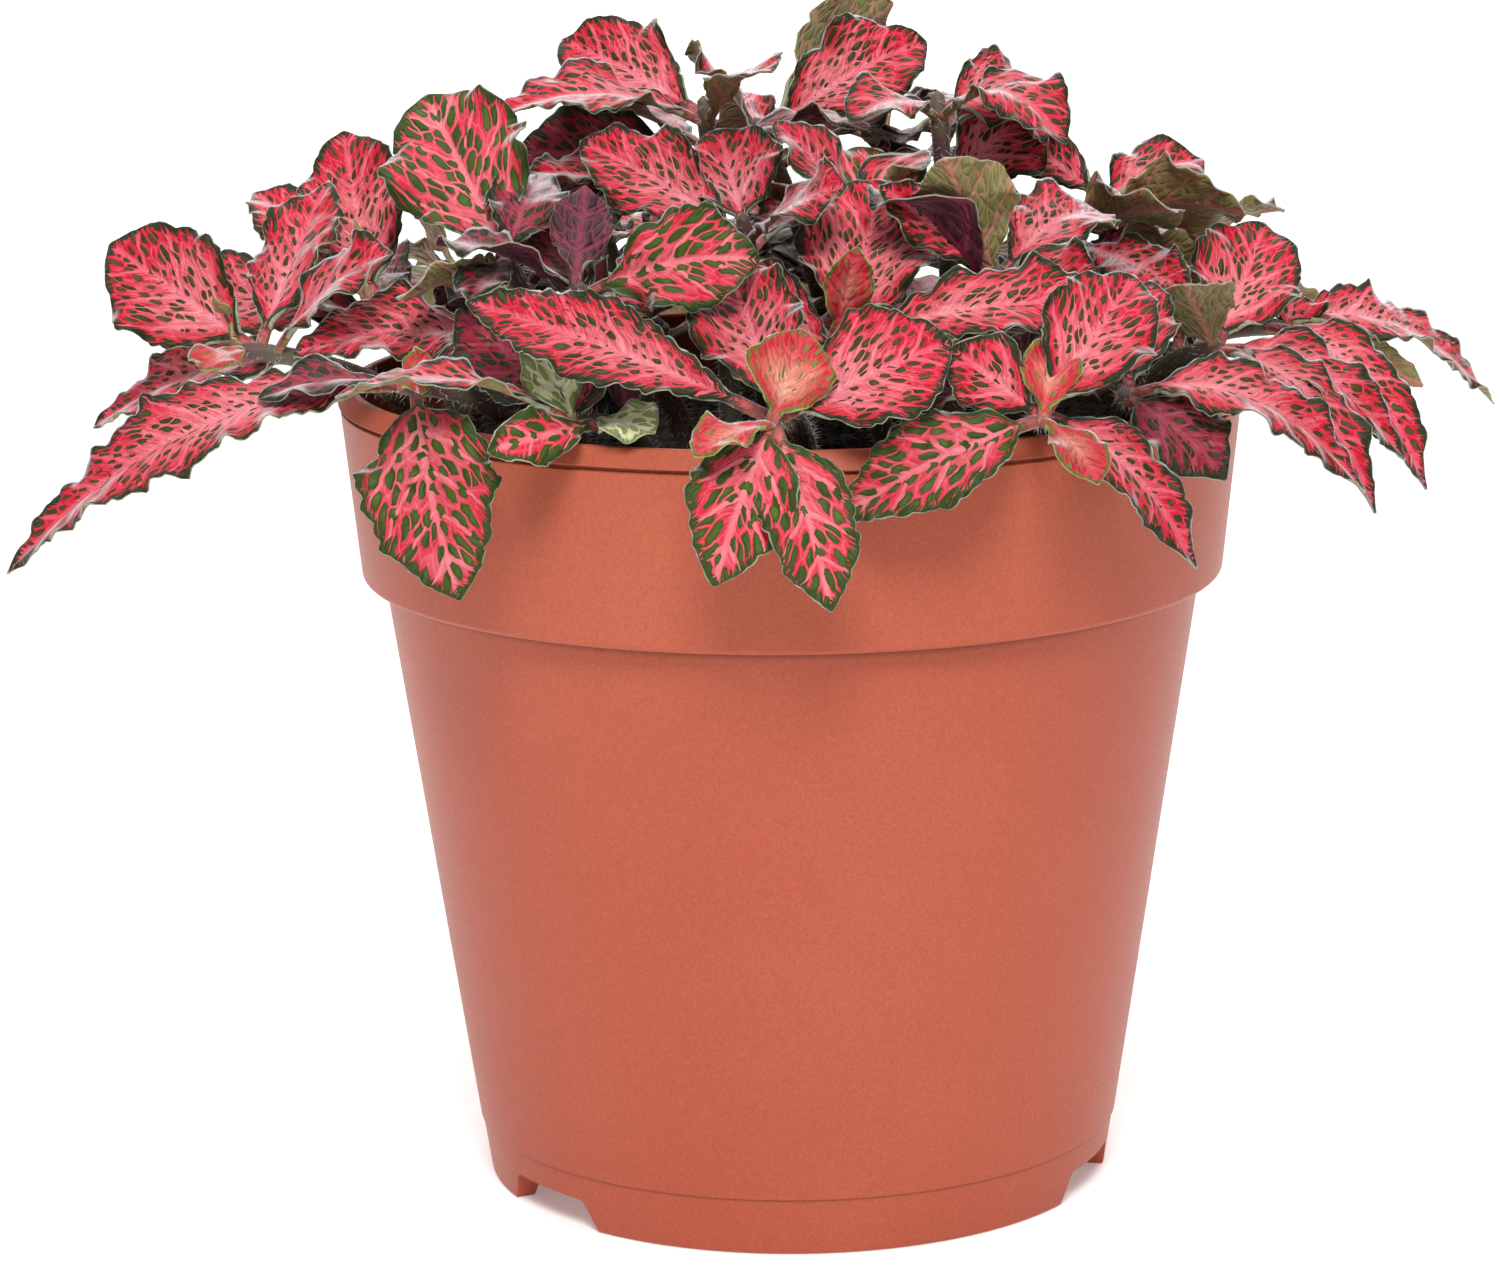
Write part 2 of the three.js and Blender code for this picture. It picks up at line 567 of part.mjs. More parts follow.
function buildSoil() {
  const ringAt = (radius, height) => {
    const ring = [];
    for (let j = 0; j < POT_SEGMENTS; j++) {
      const turn = (2 * Math.PI * j) / POT_SEGMENTS;
      const x = radius * Math.sin(turn);
      const y = radius * Math.cos(turn);
      ring.push(new THREE.Vector3(x, y, height ?? soilHeight(x, y)));
    }
    return ring;
  };
  // The inner radius of the pot at the height of the soil's edge.
  const edgeZ = SOIL_TOP_Z - SOIL_EDGE_DROP;
  const share = (edgeZ - BAND_BOTTOM_Z) / (BAND_TOP_Z - BAND_BOTTOM_Z);
  const edge = BAND_BOTTOM_RADIUS - WALL + share * (RIM_RADIUS - RIM_LIP - BAND_BOTTOM_RADIUS);
  const rings = SOIL_RINGS.map((radius) => ringAt(radius));
  rings.push(ringAt(edge - SOIL_EDGE));
  rings.push(ringAt(edge - GAP, edgeZ));
  rings.push(ringAt(BAND_BOTTOM_RADIUS - WALL - GAP, BAND_BOTTOM_Z));
  rings.push(ringAt(BODY_TOP_RADIUS - WALL - GAP, SHOULDER_Z + INNER_SHOULDER_GAP));
  rings.push(ringAt(BODY_BOTTOM_RADIUS - WALL - GAP, FLOOR_CORNER_Z + INNER_SHOULDER_GAP));
  rings.push(ringAt(BODY_BOTTOM_RADIUS - WALL - FLOOR_ROUNDING - GAP, FLOOR_TOP_Z + GAP));
  const crown = new THREE.Vector3(0, 0, soilHeight(0, 0));
  const bottom = new THREE.Vector3(0, 0, FLOOR_TOP_Z + GAP);
  let soil = solidFromRings(crown, rings, bottom);
  for (const { root } of SHOOTS) {
    const radius = (STEM_RADIUS + GAP) / Math.cos(Math.PI / HOLE_SIDES);
    const top = SOIL_TOP_Z + STEM_START;
    soil = soil.subtract(uprightCylinder(...root, HOLE_BOTTOM_Z, top, radius, HOLE_SIDES));
  }
  return soil;
}

// ---- Stems -----------------------------------------------------------------------------------
// The line of a stem above the soil: 0 where it starts to lean, 1 at its top.
function stemLine(shoot) {
  const [x, y] = shoot.root;
  const top = new THREE.Vector3(...shoot.top);
  const start = new THREE.Vector3(x, y, SOIL_TOP_Z + STEM_START);
  const middle = new THREE.Vector3(x, y, start.z).lerp(top, 0.12);
  const upright = Math.min(top.z + 1, start.z + STEM_UPRIGHT);
  middle.z = Math.max(upright, start.z + 0.45 * (top.z - start.z));
  return new THREE.QuadraticBezierCurve3(start, middle, top);
}

function buildStem(shoot) {
  const line = stemLine(shoot);
  const [x, y] = shoot.root;
  const bottom = new THREE.Vector3(x, y, HOLE_BOTTOM_Z + GAP);
  const centres = [bottom, ...STEM_KNOTS.map((t) => line.getPoint(t))];
  const sidewards = new THREE.Vector3(1, 0, 0);
  const rings = centres.map((centre, i) => {
    const before = centres[Math.max(i - 1, 0)];
    const after = centres[Math.min(i + 1, centres.length - 1)];
    const along = i <= 1 ? new THREE.Vector3(0, 0, 1) : after.clone().sub(before).normalize();
    const share = i / (centres.length - 1);
    const radius = THREE.MathUtils.lerp(STEM_RADIUS, STEM_TIP_RADIUS, share);
    const first = sidewards.clone().addScaledVector(along, -sidewards.dot(along)).normalize();
    const second = along.clone().cross(first);
    const ring = [];
    for (let j = 0; j < STEM_SIDES; j++) {
      const turn = (2 * Math.PI * j) / STEM_SIDES;
      const point = centre.clone().addScaledVector(first, radius * Math.cos(turn));
      ring.push(point.addScaledVector(second, radius * Math.sin(turn)));
    }
    return ring;
  });
  const last = centres.at(-1);
  const tip = last.clone().sub(centres.at(-2)).setLength(STEM_POINT).add(last);
  return solidFromRings(bottom, rings, tip);
}

// ---- Leaves ----------------------------------------------------------------------------------
// The rows of the leaves that fill the bush, as in SHOOTS. They turn about their stem as leaves do,
// stay out of the picture's foreground, and lie over the rim where they reach past it. The sines make
// them differ from one another.
function fillRows(shoot, number) {
  const rows = [];
  const count = shoot.root[1] > BEHIND_Y ? FILL_LEAVES_BEHIND : FILL_LEAVES;
  for (let k = 0; k < count; k++) {
    const turn = FILL_TURN * k + FILL_STEM_TURN * number;
    const start = THREE.MathUtils.lerp(FILL_LOWEST, FILL_HIGHEST, k / (count - 1));
    const reach = FILL_REACH + FILL_REACH_SPREAD * Math.sin(1.7 * number + 2.3 * k);
    const tip = stemLine(shoot).getPoint(start);
    tip.x += reach * Math.sin(radians(turn));
    tip.y -= reach * Math.cos(radians(turn));
    tip.z += FILL_RISE - FILL_RISE_SPREAD * Math.sin(2.9 * number + 1.1 * k);
    const out = Math.hypot(tip.x, tip.y);
    if (tip.y < FILL_FRONT_Y || out > FILL_RADIUS) continue;
    if (out > RIM_ZONE_RADIUS) tip.z = Math.max(tip.z, RIM_ZONE_Z);
    const width = FILL_WIDTH + FILL_WIDTH_SPREAD * Math.sin(2.1 * number + k);
    const colouring = k % 2 ? 0 : 3;
    rows.push([start, tip.x, tip.y, tip.z, width, FILL_ARCH, turn, FILL_LIFT, colouring]);
  }
  return rows;
}

// Half the width of a blade as a share of its widest, 0 at its base and at its tip.
function bladeShape(e, peak) {
  return Math.sin(Math.PI * e ** peak) ** BLADE_FULLNESS;
}

// One leaf as a solid. lean moves its tip and bend its middle along the lean line; extra is added
// all round, which is how the room around a leaf is tried.
function buildLeaf(shoot, row, lean, bend, extra) {
  const [start, tipX, tipY, tipZ, width, arch, turn, lift] = row;
  let stations = width >= BROAD_LEAF_WIDTH ? BROAD_STATIONS : STATIONS;
  if (shoot.fill.includes(row)) stations = FILL_STATIONS;
  const face = new THREE.Vector3(
    Math.sin(radians(turn)) * Math.cos(radians(lift)),
    -Math.cos(radians(turn)) * Math.cos(radians(lift)),
    Math.sin(radians(lift)),
  );
  const base = stemLine(shoot).getPoint(start);
  const tip = new THREE.Vector3(tipX, tipY, tipZ).addScaledVector(LEAN_LINE, lean);
  const middle = base.clone().lerp(tip, 0.5).addScaledVector(face, 2 * arch);
  middle.addScaledVector(LEAN_LINE, bend);
  const midrib = new THREE.QuadraticBezierCurve3(base, middle, tip);
  const half = width / 2;
  const peak = tipZ < base.z - HANGING_DROP ? HANGING_PEAK : STANDING_PEAK;

  // Rows of points across the leaf, from the start of the blade to just before the tip.
  const rows = [];
  for (let i = 0; i < stations; i++) {
    const e = i / stations;
    const u = PETIOLE_SHARE + (1 - PETIOLE_SHARE) * e;
    const centre = midrib.getPoint(u);
    const along = midrib.getTangent(u);
    const side = along.clone().cross(face).normalize();
    const normal = side.clone().cross(along);
    const blade = half * bladeShape(e, peak);
    const stalk = PETIOLE_HALF_WIDTH * Math.max(0, 1 - e / PETIOLE_END);
    const reach = Math.max(blade, stalk) + extra;
    const bulge = PETIOLE_EXTRA * Math.max(0, 1 - e / PETIOLE_BULGE_END);
    const thick = HALF_THICKNESS + bulge + extra;
    const wave = RUFFLE * Math.cos(Math.PI * i);
    const row = [];
    for (let j = 0; j <= COLUMNS; j++) {
      const v = (2 * j) / COLUMNS - 1;
      const edge = Math.abs(v);
      const rise = blade * (CUP * edge + wave * edge * edge * Math.sign(v));
      row.push(
        centre.clone().addScaledVector(side, v * reach).addScaledVector(normal, rise),
      );
    }
    rows.push({ row, normal, thick });
  }

  // The points of the upper and the lower face, and the two points at either end.
  const points = [];
  const pairAt = (u, thick, shift) => {
    const along = midrib.getTangent(u);
    const normal = along.clone().cross(face).normalize().cross(along);
    const centre = midrib.getPoint(u).addScaledVector(along, shift);
    const up = points.push(centre.clone().addScaledVector(normal, thick)) - 1;
    const down = points.push(centre.clone().addScaledVector(normal, -thick)) - 1;
    return [up, down];
  };
  const upper = [];
  const lower = [];
  rows.forEach(({ row, normal, thick }, i) => {
    upper.push([]);
    lower.push([]);
    row.forEach((point, j) => {
      const next = rows[Math.min(i + 1, rows.length - 1)].row[j];
      const previous = rows[Math.max(i - 1, 0)].row[j];
      const left = row[Math.max(j - 1, 0)];
      const right = row[Math.min(j + 1, COLUMNS)];
      const lengthwise = next.clone().sub(previous);
      const crosswise = right.clone().sub(left);
      const out = i === 0 ? normal.clone() : crosswise.cross(lengthwise).normalize();
      if (out.dot(normal) < 0) out.negate();
      upper[i].push(points.push(point.clone().addScaledVector(out, thick)) - 1);
      lower[i].push(points.push(point.clone().addScaledVector(out, -thick)) - 1);
    });
  });
  const [tipUpper, tipLower] = pairAt(1, HALF_THICKNESS + extra, extra);
  const [baseUpper, baseLower] = pairAt(0, HALF_THICKNESS + PETIOLE_EXTRA, 0);

  const triangles = [];
  const quad = (a, b, c, d) => triangles.push([a, b, c], [a, c, d]);
  for (let i = 0; i + 1 < rows.length; i++) {
    for (let j = 0; j < COLUMNS; j++) {
      quad(upper[i][j], upper[i][j + 1], upper[i + 1][j + 1], upper[i + 1][j]);
      triangles.push([lower[i][j], lower[i + 1][j + 1], lower[i][j + 1]]);
      triangles.push([lower[i][j], lower[i + 1][j], lower[i + 1][j + 1]]);
    }
    quad(lower[i][0], upper[i][0], upper[i + 1][0], lower[i + 1][0]);
    quad(upper[i][COLUMNS], lower[i][COLUMNS], lower[i + 1][COLUMNS], upper[i + 1][COLUMNS]);
  }
  const n = rows.length - 1;
  for (let j = 0; j < COLUMNS; j++) {
    triangles.push([upper[n][j], upper[n][j + 1], tipUpper]);
    triangles.push([lower[n][j], tipLower, lower[n][j + 1]]);
    triangles.push([upper[0][j], baseUpper, upper[0][j + 1]]);
    triangles.push([lower[0][j], lower[0][j + 1], baseLower]);
  }
  quad(baseLower, baseUpper, upper[0][0], lower[0][0]);
  quad(baseUpper, baseLower, lower[0][COLUMNS], upper[0][COLUMNS]);
  quad(lower[n][0], upper[n][0], tipUpper, tipLower);
  quad(upper[n][COLUMNS], lower[n][COLUMNS], tipLower, tipUpper);
  return solidFromTriangles(points, triangles);
}

// ---- Leaves find room ------------------------------------------------------------------------
function boxesMeet(a, b) {
  return [0, 1, 2].every((k) => a.min[k] <= b.max[k] && b.min[k] <= a.max[k]);
}

// True where no solid of another piece reaches into this one.
function isClear(solid, owner, others) {
  const box = solid.boundingBox();
  return others.every((other) => {
    if (other.owner === owner || !boxesMeet(box, other.box)) return true;
    return solid.intersect(other.solid).volume() < 1e-6;
  });
}

const placed = [];
function place(solid, owner) {
  placed.push({ solid, owner, box: solid.boundingBox() });
}

SHOOTS.forEach((shoot, i) => {
  shoot.fill = fillRows(shoot, i);
});
const potSolid = buildPot();
const soilSolid = buildSoil();
place(potSolid, "pot");
place(soilSolid, "soil");
const bodies = SHOOTS.map((shoot) => {
  const stem = buildStem(shoot);
  place(stem, shoot.name);
  return stem;
});

// The first lean and bend that keep a leaf clear of everything placed before it.
function findRoom(shoot, row) {
  for (const lean of LEANS) {
    for (const bend of BENDS) {
      const room = buildLeaf(shoot, row, lean, lean / 2 + bend, CLEARANCE);
      if (isClear(room, shoot.name, placed)) return { lean, bend: lean / 2 + bend };
    }
  }
  return null;
}

// The leaves that show most come first in each shoot, so the shoots take turns. A leaf that finds no
// room is left out.
function growLeaves(rowsOf) {
  const longest = Math.max(...SHOOTS.map((shoot) => rowsOf(shoot).length));
  for (let turn = 0; turn < longest; turn++) {
    SHOOTS.forEach((shoot, i) => {
      const row = rowsOf(shoot)[turn];
      if (!row) return;
      const room = findRoom(shoot, row);
      if (!room) return;
      const leaf = buildLeaf(shoot, row, room.lean, room.bend, 0);
      place(leaf, shoot.name);
      bodies[i] = bodies[i].add(leaf);
    });
  }
}
growLeaves((shoot) => shoot.leaves);
growLeaves((shoot) => shoot.fill);

// ---- Meshes ----------------------------------------------------------------------------------
function meshOf(solid, name, material) {
  const { numProp, numVert, vertProperties, triVerts } = solid.getMesh();
  const positions = new Float32Array(numVert * 3);
  for (let i = 0; i < numVert; i++) {
    positions.set(vertProperties.subarray(i * numProp, i * numProp + 3), i * 3);
  }
  const geometry = new THREE.BufferGeometry();
  geometry.setAttribute("position", new THREE.BufferAttribute(positions, 3));
  geometry.setIndex(new THREE.BufferAttribute(triVerts, 1));
  geometry.computeVertexNormals();
  const mesh = new THREE.Mesh(geometry, material);
  mesh.name = name;
  return mesh;
}

// The outer skin of a solid. It fills the small voids that leaves enclose where they cross.
function outerSkin(solid) {
  return solid.decompose().reduce((a, b) => (b.volume() > a.volume() ? b : a));
}

const group = new THREE.Group();
const paint = (color, roughness) => new THREE.MeshStandardMaterial({ color, roughness, metalness: 0 });
group.add(meshOf(potSolid, "pot", paint("#C4603F", 0.45)));
group.add(meshOf(soilSolid, "soil", paint("#3A2A20", 0.95)));
SHOOTS.forEach((shoot, i) => {
  const body = outerSkin(bodies[i].simplify(SIMPLIFY));
  group.add(meshOf(body, shoot.name, paint("#D4485A", 0.55)));
});

export default group;
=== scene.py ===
"""The looks of a nerve plant in its nursery pot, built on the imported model.

Lengths are in millimetres and MM turns them to metres. +Z is up and -Y is the side the picture was
taken from.
"""
import math
from types import SimpleNamespace

import bmesh
import bpy
import numpy as np
from mathutils import Matrix, Vector
from mathutils.bvhtree import BVHTree


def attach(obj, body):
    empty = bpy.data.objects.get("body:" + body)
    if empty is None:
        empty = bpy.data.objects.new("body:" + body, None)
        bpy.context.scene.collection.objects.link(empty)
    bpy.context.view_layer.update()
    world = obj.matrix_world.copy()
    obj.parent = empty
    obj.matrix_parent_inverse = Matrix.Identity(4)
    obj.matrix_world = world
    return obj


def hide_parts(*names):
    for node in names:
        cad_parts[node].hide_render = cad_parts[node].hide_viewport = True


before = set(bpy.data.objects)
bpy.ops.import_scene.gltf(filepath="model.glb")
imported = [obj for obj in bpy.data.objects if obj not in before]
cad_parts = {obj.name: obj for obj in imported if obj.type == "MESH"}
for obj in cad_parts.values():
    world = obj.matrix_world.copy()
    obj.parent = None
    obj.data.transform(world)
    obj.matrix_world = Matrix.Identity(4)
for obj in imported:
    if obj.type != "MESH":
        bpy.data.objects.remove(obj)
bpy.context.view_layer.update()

MM = 0.001

# ---- Camera, floor and light ----
# Solved from the pot's outline in the photograph, whose image is 1500 x 1265.
CAMERA_AT = (-5.74, -635.38, 210.10)
CAMERA_DOWN = 0.2125  # radians below level
CAMERA_ROLL = -0.0123
CAMERA_SENSOR = 36.0
CAMERA_LENS = 116.24
CAMERA_CLIP = (0.05, 50.0)  # metres

FLOOR_SIZE = 6.0  # metres from its middle to its edge
FLOOR_BELOW = 0.1  # how far it lies below the foot
FLOOR_GLOW = 0.22
WORLD_STRENGTH = 0.24
# Name, place, what it is aimed at, size, all in metres, and watts.
SOFT_BOXES = (
    ("key_front", (0.0, -1.15, 1.3), (0, 0, 0.08), 0.6, 24),
    ("ceiling", (0, 0.9, 1.8), (0, 0.9, 0), 2.8, 34),
    ("backdrop", (0, 2.0, 0.85), (0, 0, 0.1), 1.3, 14),
)

# ---- Pot ----
POT_SEGMENTS = 160
POT_HEIGHT = 108.0
RIM_TOP_RADIUS = 58.5  # outer edge of the flat top of the rim
RIM_RADIUS = 60.0  # widest, just under the bevel of the rim
RIM_BEVEL = 2.3  # height of that bevel
RIM_LIP = 0.35  # the rim stands out this far from the line of the band
RIM_LIP_HEIGHT = 0.5
LIP_INSET = 0.05  # the lip's lower corner lies this far inside the rim's width
LIP_GROOVE_DEPTH = 0.95  # the groove under the lip, from the rim's width
LIP_GROOVE_TOP = 0.4  # its deepest line, below the lip
LIP_GROOVE_BOTTOM = 0.7  # and where it ends
BAND_TOP_INSET = 0.38  # the band starts there, this far inside the rim's width
BAND_BOTTOM_Z = 84.3
BAND_BOTTOM_RADIUS = 57.25
BAND_ROUNDING = 2.0  # rounded lower edge of the band
BODY_TOP_RADIUS = 54.4
BODY_BOTTOM_Z = 7.4
BODY_BOTTOM_RADIUS = 43.3
FOOT_STEP = 0.25  # the fine step above the foot
FOOT_STEP_HEIGHT = 0.3
FOOT_RADIUS = 41.9
WALL = 1.4
FOOT_RIM_WIDTH = 2.6  # width of the ring the pot stands on
FOOT_RIM_TAPER = 0.8  # the ring is wider at its top by this much
FLOOR_BOTTOM_Z = 4.6
FLOOR_TOP_Z = 6.2
FLOOR_ROUNDING = 1.4  # sloped corner between the floor and the wall
NOTCH_ANGLES = (-52, 68, 188)  # degrees from -Y towards +X
NOTCH_HEIGHT = 4.1
NOTCH_BOTTOM_DEGREES = 27
NOTCH_TOP_DEGREES = 19
NOTCH_CORNER = 0.8  # bevel of its upper corners, in height
NOTCH_CORNER_DEGREES = 0.8  # and to either side of them
NOTCH_OVERCUT = 3.0  # how far the cutting solid reaches past the ring
DRAIN_HOLES = 6
DRAIN_HOLE_RADIUS = 4.0
DRAIN_HOLE_SIDES = 40
DRAIN_CIRCLE_RADIUS = 29.0
CUTTER_REACH = 1  # how far the cutting solids reach above and below what they cut
BAND_TOP_Z = POT_HEIGHT - RIM_BEVEL - RIM_LIP_HEIGHT
SHOULDER_Z = BAND_BOTTOM_Z - BAND_ROUNDING - 0.6
FLOOR_CORNER_Z = BODY_BOTTOM_Z + 0.9
ARC_STEPS = 5  # parts of each rounded corner of the section
SHARPEST_SMOOTH = 32  # degrees; the shading breaks at corners sharper than this

# ---- Soil ----
GAP = 0.4  # clear space between the soil and the pot
INNER_SHOULDER_GAP = 0.2  # the soil's corners lie this far above the pot's
SOIL_TOP_Z = 98.5
SOIL_BUMP = 0.9  # height of the lumps on top
SOIL_EDGE = 2.0  # width of the sunken edge along the pot
SOIL_EDGE_DROP = 1.5
SOIL_SEGMENTS = 180
SOIL_RINGS = 46
SOIL_SEED = 7
RIPPLES = 14  # small waves that run over one another
RIPPLE_HEIGHT = 0.09
RIPPLE_TURNS = (0.9, 2.6)  # radians in a millimetre, least and most
CRUMBS = 420000.0  # in a square metre
CRUMB_RADIUS = 0.75
CRUMB_SIZES = ((0.35, 0.3, 0.25), (1.5, 1.1, 0.8))  # least and most of that radius, on each axis
CRUMB_TILT = 0.5  # radians to either side
CRUMBS_DOWN_TO = 1.6  # below the soil's top

# ---- Stems ----
STEM_RADIUS = 1.6  # at the root
STEM_TIP_RADIUS = 1.1
STEM_UPRIGHT = 12.0  # a stem rises about this far above the soil before it leans over
STEM_START = 2.0  # height above the soil where it starts to lean
STEM_MIDDLE_SHARE = 0.12  # how far the middle point of its curve goes towards the tip, level
STEM_MIDDLE_RISE = 0.45  # and in height
STEM_FEET_Z = (90.8, 95.0, 99.0)  # sections from the bottom of its hole to just above the soil
STEM_STEPS = 22
STEM_SIDES = 14
STEM_POINT = 0.8  # length of its blunt tip
STEM_TAPER = ((0, 0.97, 1), (0.98, 1.0, 0.8))  # shares of its length, and of its radius there
STEM_SWELLING = 0.07  # how much thicker it is where its upper leaves leave it
STEM_SWELLING_AT = 0.93
STEM_SWELLING_SHARE = 0.05
HAIRS = 1400000.0  # in a square metre
HAIR_LENGTH = 1.3
HAIR_RADIUS = 0.045
HAIR_SIZES = (0.45, 1.2)  # least and most of both
HAIR_TILT = 0.7  # radians to either side
HAIRS_FROM = 1  # above the soil's top

# ---- Leaves ----
# The form of the solids, with the names of the part's source.
HALF_THICKNESS = 0.4
PETIOLE_HALF_WIDTH = 0.8
PETIOLE_SHARE = 0.12  # share of the length from the stem to the start of the blade
PETIOLE_END = 0.33  # share of the blade where the stalk's width has run out
BLADE_FULLNESS = 0.8  # below 1 rounds the outline out towards its ends
STANDING_PEAK = 1.15  # above 1 puts the widest place of a blade beyond its middle
HANGING_PEAK = 0.85  # below 1 puts it nearer the stalk, with a long tip
HANGING_DROP = 6.0  # a leaf hangs if its tip is this far below its base
RUFFLE = 0.2  # height of the waves of the edge, as a share of the half width
CUP = 0.16  # how far the sides rise above the midrib, as a share of the half width
BROAD_LEAF_WIDTH = 14  # a leaf at least this wide has more waves along its edge
BROAD_STATIONS = 5  # rows of points from the start of a blade to just before its tip
STATIONS = 4
FILL_STATIONS = 3
# A leaf that would touch another piece leans along this line, towards the picture or away from it.
LEAN_LINE = np.array([0, 0.978, -0.211])
LEANS = (0, 3, -3, 6, -6, 9, -9, 12, -12, 16, -16, 20, -20)
BENDS = (0, 3, -3, 6, -6)
ABSENT = 0.3  # a leaf is missing from its solid where its points lie this far off on average

# Leaves that fill the bush low on each stem, placed by a rule.
FILL_LEAVES = 3
FILL_LEAVES_BEHIND = 4  # on a stem that is rooted behind BEHIND_Y
BEHIND_Y = 20
FILL_TURN = 137.5  # degrees from one leaf of a stem to the next
FILL_STEM_TURN = 47  # degrees from one stem to the next
FILL_LOWEST = 0.45  # how far up the stem the first of them starts
FILL_HIGHEST = 0.85  # and the last
FILL_REACH = 27  # level distance from the stem to the tip
FILL_REACH_SPREAD = 5
FILL_RISE = 5  # the tip lies about this far above its start
FILL_RISE_SPREAD = 4
FILL_WIDTH = 12.5
FILL_WIDTH_SPREAD = 2
FILL_ARCH = 3
FILL_LIFT = 68  # degrees that its face looks up
FILL_FRONT_Y = -36  # no tip comes nearer to the picture's side than this
FILL_RADIUS = 72  # or farther out
FILL_COLOURINGS = (3, 0)  # red in painted shade and red, in turn
RIM_ZONE_RADIUS = 46  # a tip farther out than this lies above the rim
RIM_ZONE_Z = 113

# What the looks add to the form.
BLADE_HALF_THICKNESS = 0.16  # a real blade is about a third of a millimetre thick
EDGE_THINNING = 0.45  # it is thinner by this share at its edge
STALK_HALF_THICKNESS = 0.6
THIN_FROM = 0.2  # share of the blade where the stalk's thickness has run out
ROUND_UP_TO = 0.05  # share of the blade up to which it has the round section of the stalk
STALK_ROUNDNESS = 0.8
TIP_HALF_WIDTH = 0.22
VEIN_SPACING = 6.0  # from one side vein to the next
VEIN_SLANT = 1.0  # a side vein runs this much further along the leaf than across it
VEIN_CURVE = 0.035  # and bends forward by this much for each millimetre across, squared
EDGE_WAVES = ((9.0, 0.45), (5.2, 0.33), (2.9, 0.22))  # spacing of an edge's waves, and shares
EDGE_ROLL = 1.35  # how far those waves lift the edge
EDGE_SCALLOP = 0.1  # how far they move it outwards, as a share of the half width
TOOTH_SPACING = 1.9
TOOTH_DEPTH = 0.42
TOOTH_BLUNTNESS = 0.7  # below 1 makes the teeth blunt, with sharp clefts between them
FULL_TOOTH_WIDTH = 10  # a narrower blade has smaller teeth
PUCKER = 0.55  # the blade swells by this much between its side veins
GROOVE = 0.4  # depth of the midrib
GROOVE_WIDTH = 0.9
FULL_WIDTH = 13  # a narrower blade is less crinkled
MEAN_WAVE = 0.6  # about the mean of a tooth or a swelling, taken off it
FADE_AT_BASE = 6  # the crinkles have their full size from a sixth of the blade
FADE_AT_TIP = 7  # to a seventh before its tip
STALK_EDGE = 30.0  # what a stalk has as its distance from the edge, for its length
TIP_EDGE_SHARE = 0.75  # near the tip that distance is this share of the way to the tip
TIP_EDGE = 0.02  # and this much more
PATTERNS = 97  # leaves have this many unlike patterns
PATTERN_STEP = 3.1  # which lie this far apart in the noise

# How finely leaves are meshed.
STEP_ALONG = 0.5  # distance between the points of a leaf
STEP_ACROSS = 0.85
LEAST_ROWS = 20
LEAST_COLUMNS = 4  # on either side of the midrib
STALK_SHARES = (-0.136, -0.1, -0.05)  # rows of points on the stalk, as shares of the blade
MIDRIB_STEPS = 20  # in which its length is measured
FILL_DETAIL = 0.7  # leaves inside the bush have this share of the points of the others

